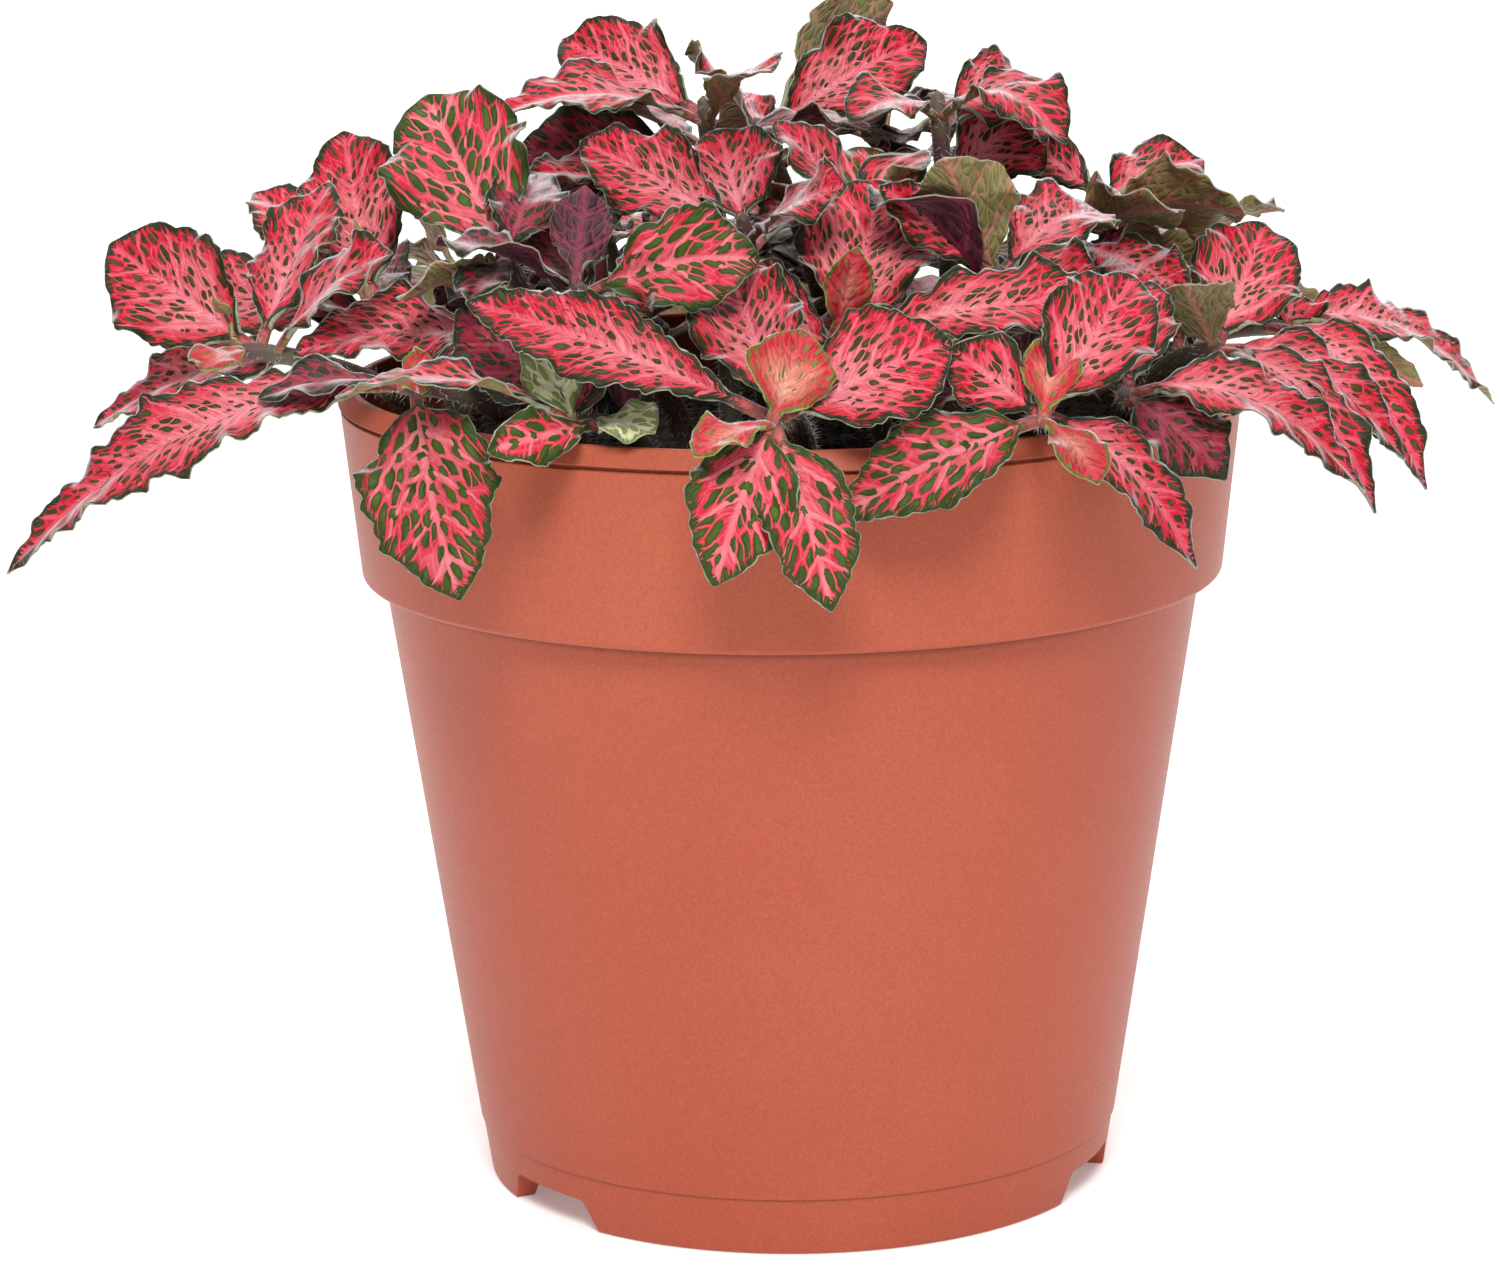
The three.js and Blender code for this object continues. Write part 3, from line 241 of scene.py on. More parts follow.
# The stems, as in the part's source: where each is rooted, the place of its top, and a row for each
# of its leaves. A row says how far up the stem the leaf starts (1 is the top), the place of its
# tip, its width, how far it arches towards its upper face, and where that face looks: degrees from
# -Y towards +X, and degrees above level. The last number is its colouring, counted from 0 in LOOKS.
SHOOTS = {
    "shoot_front_middle": ((2, -38), (-3, -63, 112), [
        (1, 1, -60, 123, 11, 1, 10, 0, 2),  # young leaf, up
        (1, -12, -73, 110, 7, 1.5, -20, 50, 2),  # young leaf, down left
        (0.93, -40, -47, 125, 11, 3, -5, 35, 0),  # long leaf to the left
        (0.93, 19, -58, 121, 15, 2, 5, 30, 0),  # broad leaf to the right
        (0.84, -8, -36, 128, 14, 1, -5, 25, 0),  # leaf standing behind
        (0.97, -10, -71, 94, 13, 4, 0, 25, 1),  # hanging over the band, left
        (0.97, 4, -72, 91, 11.5, 4, 8, 15, 1),  # hanging over the band, right
    ]),
    "shoot_front_right": ((30, -36), (30, -57, 111), [
        (1, 32, -52, 121, 7.5, 1, 0, 15, 2),  # young leaf, up
        (1, 36, -67, 105, 7, 1.5, 20, 45, 2),  # young leaf, down right
        (0.94, 19, -56, 120, 10, 1, -10, 25, 0),  # leaf to the left
        (0.94, 42, -36, 125, 14, 2, 0, 25, 0),  # broad leaf up right
        (0.85, 28, -33, 120, 11, 1, 0, 20, 3),  # dark leaf behind
        (0.8, 49, -54, 92, 9, 5, 15, 45, 0),  # wavy hanging leaf
        (0.97, 5, -56, 99, 12, 3, -10, 30, 1),  # long leaf down to the left
        (0.7, 44, -24, 113, 11, 2, 120, 60, 3),  # inner leaf
        (0.6, 14, -34, 112, 11, 2, -60, 60, 3),  # inner leaf, left
    ]),
    "shoot_left_over_rim": ((-45, -18), (-70, -25, 116), [
        (0.95, -87, -19, 129, 16, 1, -10, 20, 0),  # leaf up left
        (0.95, -60, -5, 135, 12, 1, -30, 25, 0),  # leaf up right
        (0.9, -50, -31, 129, 11, 3, -10, 60, 0),  # folded leaf to the right
        (1, -77, -22, 121, 7, 1, 175, 35, 2),  # young leaf, far side
        (1, -74, -35, 115, 7, 1, -10, 45, 2),  # young leaf, near side
        (0.8, -91, -12, 104, 12, 4, -5, 55, 0),  # low leaf behind
    ]),
    "shoot_left_front": ((-33, -31), (-49, -43, 114), [
        (0.92, -41, -58, 90, 17, 5, -8, 18, 1),  # big hanging leaf
        (0.9, -99, -38, 90, 12, 10, -15, 50, 0),  # longest leaf, arching left
        (1, -66, -46, 113, 8, 2, 0, 70, 3),  # narrow leaf to the left
        (1, -44, -46, 117, 6, 1, 10, 30, 2),  # young leaf
    ]),
    "shoot_front_low": ((-17, -44), (-27, -50, 110), [
        (0.8, -42, -34, 122, 12, 1, 0, 15, 3),  # dark leaf up left
        (1, -32, -48, 122, 8, 1, 20, 0, 4),  # pale young leaf
        (1, -25, -45, 119, 7, 1, 0, 10, 3),  # small dark leaf
        (0.97, -56, -51, 114, 9, 4, 0, 85, 0),  # long low leaf to the left
        (0.8, -37, -62, 109, 7, 1, 0, 20, 1),  # small leaf at the rim
        (0.85, -17, -56, 110, 8, 1, 0, 60, 4),  # pale leaf at the rim
    ]),
    "shoot_left_middle": ((-28, -12), (-36, -25, 127), [
        (0.95, -47, -4, 146, 19, 2, -5, 20, 1),  # broad netted leaf
        (0.9, -49, -37, 124, 11, 2, 170, 45, 0),  # underside to the left
        (1, -40, -40, 124, 7, 1, -10, 40, 3),  # small leaf
        (0.5, -63, -30, 116, 12, 5, -5, 55, 0),  # arching leaf, far left
        (1, -32, 2, 134, 10, 1, 0, 30, 3),  # small leaf behind
        (0.7, -44, 14, 114, 14, 3, -170, 60, 3),  # leaf to the back
    ]),
    "shoot_left_back": ((-44, 4), (-55, -7, 119), [
        (0.95, -59, 9, 140, 15, 1, -8, 15, 0),  # standing leaf
        (1, -61, 2, 131, 6, 1, 175, 10, 2),  # young underside
        (0.9, -72, 16, 131, 11, 3, -5, 55, 0),  # far leaf
        (0.7, -87, 22, 116, 14, 4, -20, 45, 0),  # low leaf behind
    ]),
    "shoot_middle_left": ((-13, -24), (-27, -35, 125), [
        (0.95, -4, -42, 129, 14, 5, 0, 30, 1),  # big leaf to the right
        (1, -26, -22, 136, 8, 1, 180, 10, 3),  # young purple underside
        (0.85, -13, -22, 126, 11, 1, 0, 30, 0),  # leaf beneath
        (0.85, -37, -14, 135, 12, 1, 0, 35, 3),  # leaf behind, left
        (0.75, -36, -8, 124, 14, 3, -140, 60, 3),  # leaf to the back left
    ]),
    "shoot_middle_front": ((12, -25), (5, -43, 119), [
        (0.95, 12, -20, 136, 18, 1, 0, 15, 0),  # broad leaf, face on
        (0.93, 40, -46, 123, 12, 4, 0, 50, 0),  # long leaf to the right
        (0.8, -13, -27, 125, 12, 1, 0, 30, 0),  # leaf beneath, left
        (1, 8, -46, 131, 6, 1, 10, 20, 2),  # young leaf
        (0.7, 30, -30, 118, 13, 3, 60, 60, 3),  # leaf to the right, inner
    ]),
    "shoot_middle": ((-3, -6), (-6, -17, 131), [
        (0.95, -9, -3, 141, 15, 1, 0, 20, 0),  # leaf, face on
        (0.9, -27, -7, 140, 13, 2, 0, 40, 0),  # leaf to the left
        (0.9, 7, -30, 136, 10, 2, 0, 45, 0),  # leaf to the right
        (0.85, 8, 18, 126, 14, 3, 175, 60, 0),  # leaf to the back
    ]),
    "shoot_middle_right": ((13, -6), (9, -18, 132), [
        (0.95, 12, -3, 138, 14, 1, 5, 18, 1),  # leaf, face on
        (0.95, 17, -26, 139, 11, 3, 0, 70, 0),  # edge-on leaf to the right
        (0.9, -2, -15, 143, 10, 2, 0, 70, 0),  # edge-on leaf to the left
        (0.85, 38, 8, 128, 14, 3, 120, 60, 3),  # leaf to the back right
    ]),
    "shoot_top_left": ((-8, 12), (-11, 4, 144), [
        (0.95, -30, 17, 151, 14, 2, -5, 35, 0),  # leaf up left
        (0.93, -38, -2, 143, 13, 4, 0, 72, 0),  # edge-on leaf, far left
        (0.93, -2, -10, 149, 11, 3, 0, 68, 0),  # edge-on leaf to the right
        (0.8, -36, 12, 137, 14, 1, 0, 15, 3),  # shaded leaf, face on
        (0.65, -34, -20, 139, 11, 3, 0, 62, 0),  # curled leaf, left
        (0.85, -30, 34, 140, 14, 3, -160, 60, 0),  # leaf to the back
    ]),
    "shoot_top": ((7, 18), (-4, 14, 140), [
        (0.95, 19, 18, 150, 14, 4, 0, 35, 0),  # long arching leaf
        (0.95, 15, 34, 154, 14, 3, 180, 30, 0),  # highest leaf, underside
        (0.85, -13, 40, 146, 13, 3, 170, 50, 0),  # leaf at the back
    ]),
    "shoot_top_right": ((22, 8), (20, 7, 144), [
        (0.95, 35, 20, 139, 15, 5, 5, 42, 0),  # leaf down right
        (0.93, 36, -8, 139, 13, 6, 0, 72, 0),  # edge-on leaf to the right
        (0.93, 8, -4, 142, 11, 3, 0, 70, 0),  # edge-on leaf to the left
        (0.75, 34, 14, 141, 14, 2, 5, 25, 0),  # leaf, face on
    ]),
    "shoot_right_middle": ((25, -18), (26, -31, 126), [
        (0.95, 19, -39, 141, 13, 1, 180, 35, 0),  # underside, standing
        (0.95, 11, -34, 137, 8, 1, 0, 35, 0),  # slanting leaf to the left
        (0.9, 38, -38, 125, 11, 2, 0, 35, 0),  # leaf to the right
        (0.9, 41, -12, 130, 13, 5, 0, 60, 0),  # curled leaf
        (0.8, 36, -4, 118, 14, 3, 150, 60, 3),  # leaf to the back
    ]),
    "shoot_right_upper": ((30, 12), (42, 8, 130), [
        (0.95, 56, 16, 134, 12, 2, 0, 68, 0),  # thin leaf to the right
        (0.9, 60, -2, 129, 13, 3, 170, 40, 0),  # underside, far right
        (0.85, 49, -12, 131, 12, 2, 180, 30, 0),  # underside, lower
        (1, 31, 18, 138, 7, 1, 0, 20, 0),  # small leaf
        (0.8, 51, -20, 121, 9, 2, 0, 35, 0),  # leaf down right
        (0.8, 44, 30, 122, 13, 3, 160, 60, 3),  # leaf to the back
        (0.7, 58, -6, 122, 14, 2, 175, 30, 0),  # lower underside
    ]),
    "shoot_right": ((45, -8), (56, -16, 113), [
        (0.95, 63, 3, 127, 15, 1, 0, 15, 0),  # leaf, face on
        (0.93, 79, -20, 99, 10, 6, 8, 58, 0),  # long leaf down right
        (0.9, 74, -30, 94, 9, 7, 20, 55, 0),  # long leaf, steeper
        (0.95, 50, -31, 124, 10, 1, 180, 30, 0),  # underside, standing
        (0.8, 62, 10, 114, 12, 3, 150, 60, 3),  # leaf to the back
    ]),
    "shoot_right_front": ((43, -27), (41, -42, 111), [
        (0.94, 71, -42, 99, 10.5, 8, 5, 58, 0),  # long arching leaf
        (0.97, 53, -49, 102, 12, 2, 15, 40, 3),  # dark low leaf
        (0.9, 46, -22, 123, 9, 1, 0, 25, 0),  # leaf behind, up
    ]),
    "shoot_right_back": ((47, 12), (67, 10, 112), [
        (0.95, 98, 29, 98, 11, 8, 0, 58, 0),  # farthest leaf right
        (0.95, 86, 14, 103, 8, 2, 180, 30, 0),  # narrow underside
        (0.9, 85, 2, 91, 10, 8, 10, 50, 0),  # long leaf, green tip
        (1, 68, 13, 116, 10, 1, 0, 20, 0),  # small leaf
    ]),
    "shoot_back_left": ((-32, 26), (-46, 42, 116), [
        (1, -52, 50, 123, 8, 1, -160, 40, 2),  # young leaf
        (0.95, -80, 50, 106, 15, 6, -130, 50, 0),  # leaf to the left
        (0.95, -50, 72, 101, 15, 6, 175, 45, 1),  # leaf to the back
        (0.9, -22, 60, 120, 13, 3, 150, 60, 0),  # leaf to the right
        (0.85, -66, 22, 124, 13, 3, -60, 60, 0),  # leaf to the front
    ]),
    "shoot_back": ((-2, 44), (-6, 60, 113), [
        (1, -9, 68, 119, 8, 1, 180, 45, 2),  # young leaf
        (0.95, -26, 72, 98, 16, 5, -165, 30, 1),  # hanging leaf, left
        (0.95, 14, 72, 94, 16, 5, 165, 30, 0),  # hanging leaf, right
        (0.85, 22, 58, 120, 13, 3, 170, 60, 0),  # leaf to the right
        (0.85, -28, 44, 116, 12, 3, -170, 65, 3),  # leaf to the left
    ]),
    "shoot_back_right": ((32, 34), (44, 48, 116), [
        (1, 50, 55, 122, 8, 1, 150, 45, 2),  # young leaf
        (0.95, 78, 50, 104, 15, 6, 125, 50, 0),  # leaf to the right
        (0.95, 46, 72, 100, 15, 6, 175, 45, 0),  # leaf to the back
        (0.9, 68, 24, 126, 13, 3, 70, 60, 1),  # leaf to the front
        (0.85, 28, 62, 112, 12, 3, 170, 60, 0),  # leaf to the left
    ]),
    "shoot_back_upper": ((12, 34), (14, 42, 136), [
        (1, 16, 50, 143, 8, 1, 180, 45, 2),  # young leaf
        (0.95, 40, 50, 132, 15, 4, 150, 55, 0),  # leaf to the right
        (0.95, -12, 54, 132, 15, 4, -155, 55, 0),  # leaf to the left
        (0.85, 10, 70, 120, 15, 4, 175, 50, 1),  # leaf to the back
        (0.8, 22, 18, 134, 13, 3, 30, 65, 3),  # leaf to the front
    ]),
    "shoot_back_upper_left": ((-20, 24), (-28, 32, 130), [
        (1, -32, 40, 136, 8, 1, -160, 45, 2),  # young leaf
        (0.95, -52, 34, 130, 14, 4, -130, 60, 0),  # leaf to the left
        (0.95, -26, 58, 126, 15, 4, -175, 50, 0),  # leaf to the back
        (0.85, -46, 12, 130, 13, 3, -30, 60, 0),  # leaf to the front
    ]),
}


# ---- Form of stems and leaves ----
def quadratic(points, t):
    """Points on a quadratic curve, and the directions there."""
    a, b, c = points
    t = np.asarray(t, float)[:, None]
    at = (1 - t) ** 2 * a + 2 * t * (1 - t) * b + t**2 * c
    along = 2 * (1 - t) * (b - a) + 2 * t * (c - b)
    return at, along / np.linalg.norm(along, axis=1, keepdims=True)


def stem_line(root, top):
    """The three points of a stem's curve above the soil."""
    start = np.array([*root, SOIL_TOP_Z + STEM_START])
    top = np.array(top, float)
    middle = start + STEM_MIDDLE_SHARE * (top - start)
    upright = min(top[2] + 1, start[2] + STEM_UPRIGHT)
    middle[2] = max(upright, start[2] + STEM_MIDDLE_RISE * (top[2] - start[2]))
    return start, middle, top


def fill_rows(stem, number):
    """The rows of the leaves that fill the bush low on a stem, by the rule of the part's source."""
    count = FILL_LEAVES_BEHIND if stem[0][1] > BEHIND_Y else FILL_LEAVES
    rows = []
    for k in range(count):
        turn = FILL_TURN * k + FILL_STEM_TURN * number
        start = FILL_LOWEST + (FILL_HIGHEST - FILL_LOWEST) * k / (count - 1)
        reach = FILL_REACH + FILL_REACH_SPREAD * math.sin(1.7 * number + 2.3 * k)
        x, y, z = quadratic(stem, [start])[0][0]
        x += reach * math.sin(math.radians(turn))
        y -= reach * math.cos(math.radians(turn))
        z += FILL_RISE - FILL_RISE_SPREAD * math.sin(2.9 * number + 1.1 * k)
        out = math.hypot(x, y)
        if y < FILL_FRONT_Y or out > FILL_RADIUS:
            continue
        if out > RIM_ZONE_RADIUS:
            z = max(z, RIM_ZONE_Z)
        width = FILL_WIDTH + FILL_WIDTH_SPREAD * math.sin(2.1 * number + k)
        colouring = FILL_COLOURINGS[k % 2]
        rows.append((start, x, y, z, width, FILL_ARCH, turn, FILL_LIFT, colouring))
    return rows


def blade_shape(e, peak):
    """Half the width of a blade as a share of its widest, 0 at its base and at its tip."""
    return np.abs(np.sin(np.pi * e**peak)) ** BLADE_FULLNESS


def leaf_midrib(stem, row, lean, bend):
    """The three points of a leaf's midrib, and where its face looks."""
    start, tip_x, tip_y, tip_z, width, arch, turn, lift = row[:8]
    turn, lift = math.radians(turn), math.radians(lift)
    face = np.array(
        [math.sin(turn) * math.cos(lift), -math.cos(turn) * math.cos(lift), math.sin(lift)]
    )
    base = quadratic(stem, [start])[0][0]
    tip = np.array([tip_x, tip_y, tip_z], float) + LEAN_LINE * lean
    middle = (base + tip) / 2 + face * 2 * arch + LEAN_LINE * bend
    return (base, middle, tip), face


def leaf_peak(stem, row):
    """Where a blade is widest: nearer to its stalk on a leaf that hangs."""
    base = quadratic(stem, [row[0]])[0][0]
    return HANGING_PEAK if row[3] < base[2] - HANGING_DROP else STANDING_PEAK


def blade_frame(midrib, face, u):
    """Points of the midrib, and there the direction to one side and the upward one."""
    at, along = quadratic(midrib, u)
    side = np.cross(along, face)
    side /= np.linalg.norm(side, axis=1, keepdims=True)
    return at, side, np.cross(side, along)


def blade_rise(blade, v, stations, e):
    """How far the blade lifts off its midrib: its sides rise, and each edge waves the other way."""
    return blade * (CUP * np.abs(v) + RUFFLE * np.cos(np.pi * stations * e) * v**2 * np.sign(v))


def stations_of(row):
    """How many parts the solid of a leaf has along its blade."""
    return BROAD_STATIONS if row[4] >= BROAD_LEAF_WIDTH else STATIONS


def find_lean(solid, stem, row, stations):
    """The lean and bend that the solid of this leaf took to stay clear of its neighbours: those
    that put its midrib, edges and tip where the solid has them. None where it has no such leaf."""
    e = np.arange(1, stations) / stations
    u = PETIOLE_SHARE + (1 - PETIOLE_SHARE) * e
    blade = row[4] / 2 * blade_shape(e, leaf_peak(stem, row))
    least, found = ABSENT, (None, None)
    for lean in LEANS:
        for bend in BENDS:
            midrib, face = leaf_midrib(stem, row, lean, lean / 2 + bend)
            at, side, normal = blade_frame(midrib, face, u)
            points = [(p, HALF_THICKNESS) for p in at] + [(midrib[2], 0)]
            for v in (-1, 1):
                rise = blade_rise(blade, v, stations, e)
                points += [(p, 0) for p in at + v * blade[:, None] * side + rise[:, None] * normal]
            misses = [abs(solid.find_nearest(p * MM)[3] / MM - depth) for p, depth in points]
            miss = np.mean(np.minimum(misses, 1))
            if miss < least:
                least, found = miss, (lean, lean / 2 + bend)
    return found


# ---- Fine meshes of stems and leaves ----
class Sheet:
    """Collects the points, faces and values of one piece."""

    def __init__(self):
        self.points, self.faces, self.kinds = [], [], []
        self.place, self.edge = [], []
        self.count = 0

    def add(self, points, faces, kind, place=None, edge=None):
        n = len(points)
        self.points.append(points)
        self.faces.append(np.asarray(faces) + self.count)
        self.kinds.append(np.full(len(faces), kind))
        self.place.append(np.zeros((n, 3)) if place is None else place)
        self.edge.append(np.zeros((n, 3)) if edge is None else edge)
        self.count += n


def edge_waves(rng, length, e, v):
    """Irregular waves along the two edges of a blade, between about -1 and 1, for a grid."""
    sides = []
    for _ in range(2):
        turns = [(spacing, share, rng.uniform()) for spacing, share in EDGE_WAVES]
        sides.append(
            sum(share * np.sin(2 * np.pi * (length * e / s + turn)) for s, share, turn in turns)
        )
    return np.where(v < 0, *sides)


def leaf_grid(length, width, detail):
    """Shares along a leaf, below 0 on its stalk, and across it, closer together near its edges."""
    rows = max(LEAST_ROWS, round(detail * length / STEP_ALONG))
    columns = 2 * max(LEAST_COLUMNS, round(detail * width / 2 / STEP_ACROSS))
    e = np.concatenate([STALK_SHARES, np.linspace(0, 1, rows)])
    even = np.linspace(-1, 1, columns + 1)
    return e[:, None], (0.5 * even + 0.5 * np.sin(np.pi / 2 * even))[None, :]


def leaf_reach(rng, blade, width, length, e, v, fade):
    """Half the width of a leaf at each of its points: stalk or blade, with scallops and teeth."""
    stalk = PETIOLE_HALF_WIDTH * np.clip(1 - e / PETIOLE_END, 0, None)
    reach = np.maximum(np.maximum(blade, stalk), TIP_HALF_WIDTH)
    reach = reach * (1 + EDGE_SCALLOP * edge_waves(rng, length, e, v) * fade * v**2)
    turn = np.pi * length * e / TOOTH_SPACING + edge_waves(rng, length, e, v)
    tooth = np.abs(np.sin(turn)) ** TOOTH_BLUNTNESS - MEAN_WAVE
    return reach + TOOTH_DEPTH * tooth * fade * v**8 * min(1, width / FULL_TOOTH_WIDTH)


def leaf_relief(rng, width, length, e, v, fade, run, across):
    """How far the rolled edge, the swellings and the groove of the midrib lift the blade."""
    roll = EDGE_ROLL * edge_waves(rng, length, e, v) * np.abs(v) ** 3.5
    vein = run - VEIN_SLANT * np.abs(across) - VEIN_CURVE * across**2
    pucker = PUCKER * (np.abs(np.sin(np.pi * vein / VEIN_SPACING)) - MEAN_WAVE)
    pucker = pucker * np.clip(2.5 * np.abs(v), 0, 1) * (1 - np.abs(v) ** 3)
    groove = -GROOVE * np.exp(-((across / GROOVE_WIDTH) ** 2))
    return (roll + pucker + groove) * fade * min(1, width / FULL_WIDTH)


def leaf_faces(rows, columns):
    """The faces of a thin closed body whose upper points come first, row by row, then the lower."""
    index = np.arange(rows * columns).reshape(rows, columns)
    under = index + rows * columns
    loops = [
        (index[:-1, :-1], index[:-1, 1:], index[1:, 1:], index[1:, :-1]),
        (under[:-1, :-1], under[1:, :-1], under[1:, 1:], under[:-1, 1:]),
        (under[:-1, 0], index[:-1, 0], index[1:, 0], under[1:, 0]),
        (index[:-1, -1], under[:-1, -1], under[1:, -1], index[1:, -1]),
        (under[0, :-1], under[0, 1:], index[0, 1:], index[0, :-1]),
        (index[-1, :-1], index[-1, 1:], under[-1, 1:], under[-1, :-1]),
    ]
    return np.concatenate([np.stack(loop, -1).reshape(-1, 4) for loop in loops])


def add_leaf(sheet, stem, row, lean, bend, stations, detail, seed):
    """A blade with its stalk: a thin closed body on the form of the solid, with the crinkled edge,
    the swellings between the veins and the groove of the midrib. Its values are the place on the
    blade in millimetres and the distance from the edge."""
    rng = np.random.default_rng(seed)
    width, colouring = row[4], row[8]
    midrib, face = leaf_midrib(stem, row, lean, bend)
    at = quadratic(midrib, np.linspace(PETIOLE_SHARE, 1, MIDRIB_STEPS))[0]
    length = np.linalg.norm(np.diff(at, axis=0), axis=1).sum()
    e, v = leaf_grid(length, width, detail)
    inside = np.clip(e, 0, 1)
    u = np.clip(PETIOLE_SHARE + (1 - PETIOLE_SHARE) * e[:, 0], 0, 1)
    at, side, normal = (part[:, None, :] for part in blade_frame(midrib, face, u))

    # The outline and the relief, whose crinkles fade out at the base and at the tip.
    fade = np.clip(FADE_AT_BASE * inside, 0, 1) * np.clip(FADE_AT_TIP * (1 - inside), 0, 1)
    blade = width / 2 * blade_shape(inside, leaf_peak(stem, row))
    reach = leaf_reach(rng, blade, width, length, inside, v, fade)
    run, across = e * length, v * reach
    rise = blade_rise(blade, v, stations, inside)
    rise = rise + leaf_relief(rng, width, length, inside, v, fade, run, across)
    surface = at + across[..., None] * side + rise[..., None] * normal

    # The two faces lie half the thickness to either side of it.
    out = np.cross(np.gradient(surface, axis=1), np.gradient(surface, axis=0))
    out *= np.sign((out * normal).sum(2, keepdims=True))
    out[: len(STALK_SHARES)] = normal[: len(STALK_SHARES)]
    out /= np.linalg.norm(out, axis=2, keepdims=True)
    thick = np.interp(e, [0, THIN_FROM], [STALK_HALF_THICKNESS, BLADE_HALF_THICKNESS])
    round_stalk = np.sqrt(1 - STALK_ROUNDNESS * v**2)
    thick = thick * np.where(e < ROUND_UP_TO, round_stalk, 1 - EDGE_THINNING * np.abs(v) ** 6)
    top = surface + out * thick[..., None]
    bottom = surface - out * thick[..., None]

    # The values that the materials read.
    edge = (1 - np.abs(v)) * reach + STALK_EDGE * np.clip(-e, 0, 1)
    edge = np.minimum(edge, (1 - inside) * length * TIP_EDGE_SHARE + TIP_EDGE)
    flat = np.zeros_like(across)
    place = np.stack([flat + run, across, flat + seed % PATTERNS * PATTERN_STEP], -1)
    upper, lower = (np.stack([edge, flat + e, flat + under], -1) for under in (0, 1))
    points, places, edges = (
        np.concatenate([a.reshape(-1, 3), b.reshape(-1, 3)])
        for a, b in ((top, bottom), (place, place), (upper, lower))
    )
    sheet.add(points, leaf_faces(*across.shape), colouring, places, edges)


def add_stem(sheet, stem, root):
    """A stem from the bottom of its hole to its tip, a little swollen where leaves leave it."""
    at, along = quadratic(stem, np.linspace(0, 1, STEM_STEPS))
    at = np.concatenate([[[*root, z] for z in STEM_FEET_Z], at])
    along = np.concatenate([np.tile([0.0, 0.0, 1.0], (len(STEM_FEET_Z), 1)), along])
    share = np.linspace(0, 1, len(at))
    radius = STEM_RADIUS + (STEM_TIP_RADIUS - STEM_RADIUS) * share
    radius = radius * np.interp(share, *STEM_TAPER)
    swelling = np.exp(-(((share - STEM_SWELLING_AT) / STEM_SWELLING_SHARE) ** 2))
    radius = radius * (1 + STEM_SWELLING * swelling)
    first = np.array([1.0, 0, 0]) - along * along[:, :1]
    first /= np.linalg.norm(first, axis=1, keepdims=True)
    second = np.cross(along, first)
    turn = np.linspace(0, 2 * np.pi, STEM_SIDES, endpoint=False)[None, :, None]
    around = first[:, None, :] * np.cos(turn) + second[:, None, :] * np.sin(turn)
    points = at[:, None, :] + around * radius[:, None, None]
    index = np.arange(len(at) * STEM_SIDES).reshape(len(at), STEM_SIDES)
    after = np.roll(index, -1, axis=1)
    quads = np.stack([index[:-1], after[:-1], after[1:], index[1:]], -1).reshape(-1, 4)
    ends = np.array([at[0], at[-1] + along[-1] * STEM_POINT])
    caps = [[index.size, b, a, a] for a, b in zip(index[0], after[0])]
    caps += [[index.size + 1, a, b, b] for a, b in zip(index[-1], after[-1])]
    points = np.concatenate([points.reshape(-1, 3), ends])
    sheet.add(points, np.concatenate([quads, caps]), len(LOOKS))


# ---- Objects ----
def object_from(made, name):
    """A scene object from a bmesh, which is freed, or from a mesh."""
    mesh = made
    if isinstance(made, bmesh.types.BMesh):
        mesh = bpy.data.meshes.new(name)
        made.to_mesh(mesh)
        made.free()
    placed = bpy.data.objects.new(name, mesh)
    bpy.context.scene.collection.objects.link(placed)
    return placed


def plain_copy(source, name):
    """The plain mesh that an object's modifiers make of it, as a new object."""
    graph = bpy.context.evaluated_depsgraph_get()
    return object_from(bpy.data.meshes.new_from_object(source.evaluated_get(graph)), name)


def shade_smooth(mesh):
    mesh.polygons.foreach_set("use_smooth", np.ones(len(mesh.polygons), bool))


def piece_from_sheet(sheet, name, materials):
    """The mesh object of a sheet, with its values as attributes."""
    points = np.concatenate(sheet.points) * MM
    faces = [list(dict.fromkeys(face)) for face in np.concatenate(sheet.faces).tolist()]
    mesh = bpy.data.meshes.new(name)
    mesh.from_pydata(points.tolist(), [], faces)
    mesh.polygons.foreach_set("material_index", np.concatenate(sheet.kinds).astype(np.int32))
    shade_smooth(mesh)
    for label, values in (("leaf_place", sheet.place), ("leaf_edge", sheet.edge)):
        made = mesh.attributes.new(label, "FLOAT_VECTOR", "POINT")
        made.data.foreach_set("vector", np.concatenate(values).astype(np.float32).ravel())
    for material in materials:
        mesh.materials.append(material)
    mesh.update()
    return object_from(mesh, name)


def ring(radius, z, segments):
    """The points of a level ring, or the one point of a ring without a radius."""
    turns = np.linspace(0, 2 * np.pi, segments, endpoint=False) if radius else np.zeros(1)
    return np.stack([radius * np.sin(turns), -radius * np.cos(turns), 0 * turns + z], 1)


def closed_round(rings):
    """A closed round mesh from rings of points, of which the first and the last are one point."""
    made = bmesh.new()
    segments = len(rings[1])
    rings = [[made.verts.new(Vector(point) * MM) for point in points] for points in rings]
    for near, far in zip(rings, rings[1:]):
        for j in range(segments):
            k = (j + 1) % segments
            corners = ((near, j), (near, k), (far, k), (far, j))
            made.faces.new(dict.fromkeys(points[i % len(points)] for points, i in corners))
    bmesh.ops.recalc_face_normals(made, faces=made.faces)
    return made


# ---- Colours and nodes ----
SMOOTH = {"interpolation_type": "SMOOTHSTEP"}
RGBA = {"data_type": "RGBA", "out": 2}


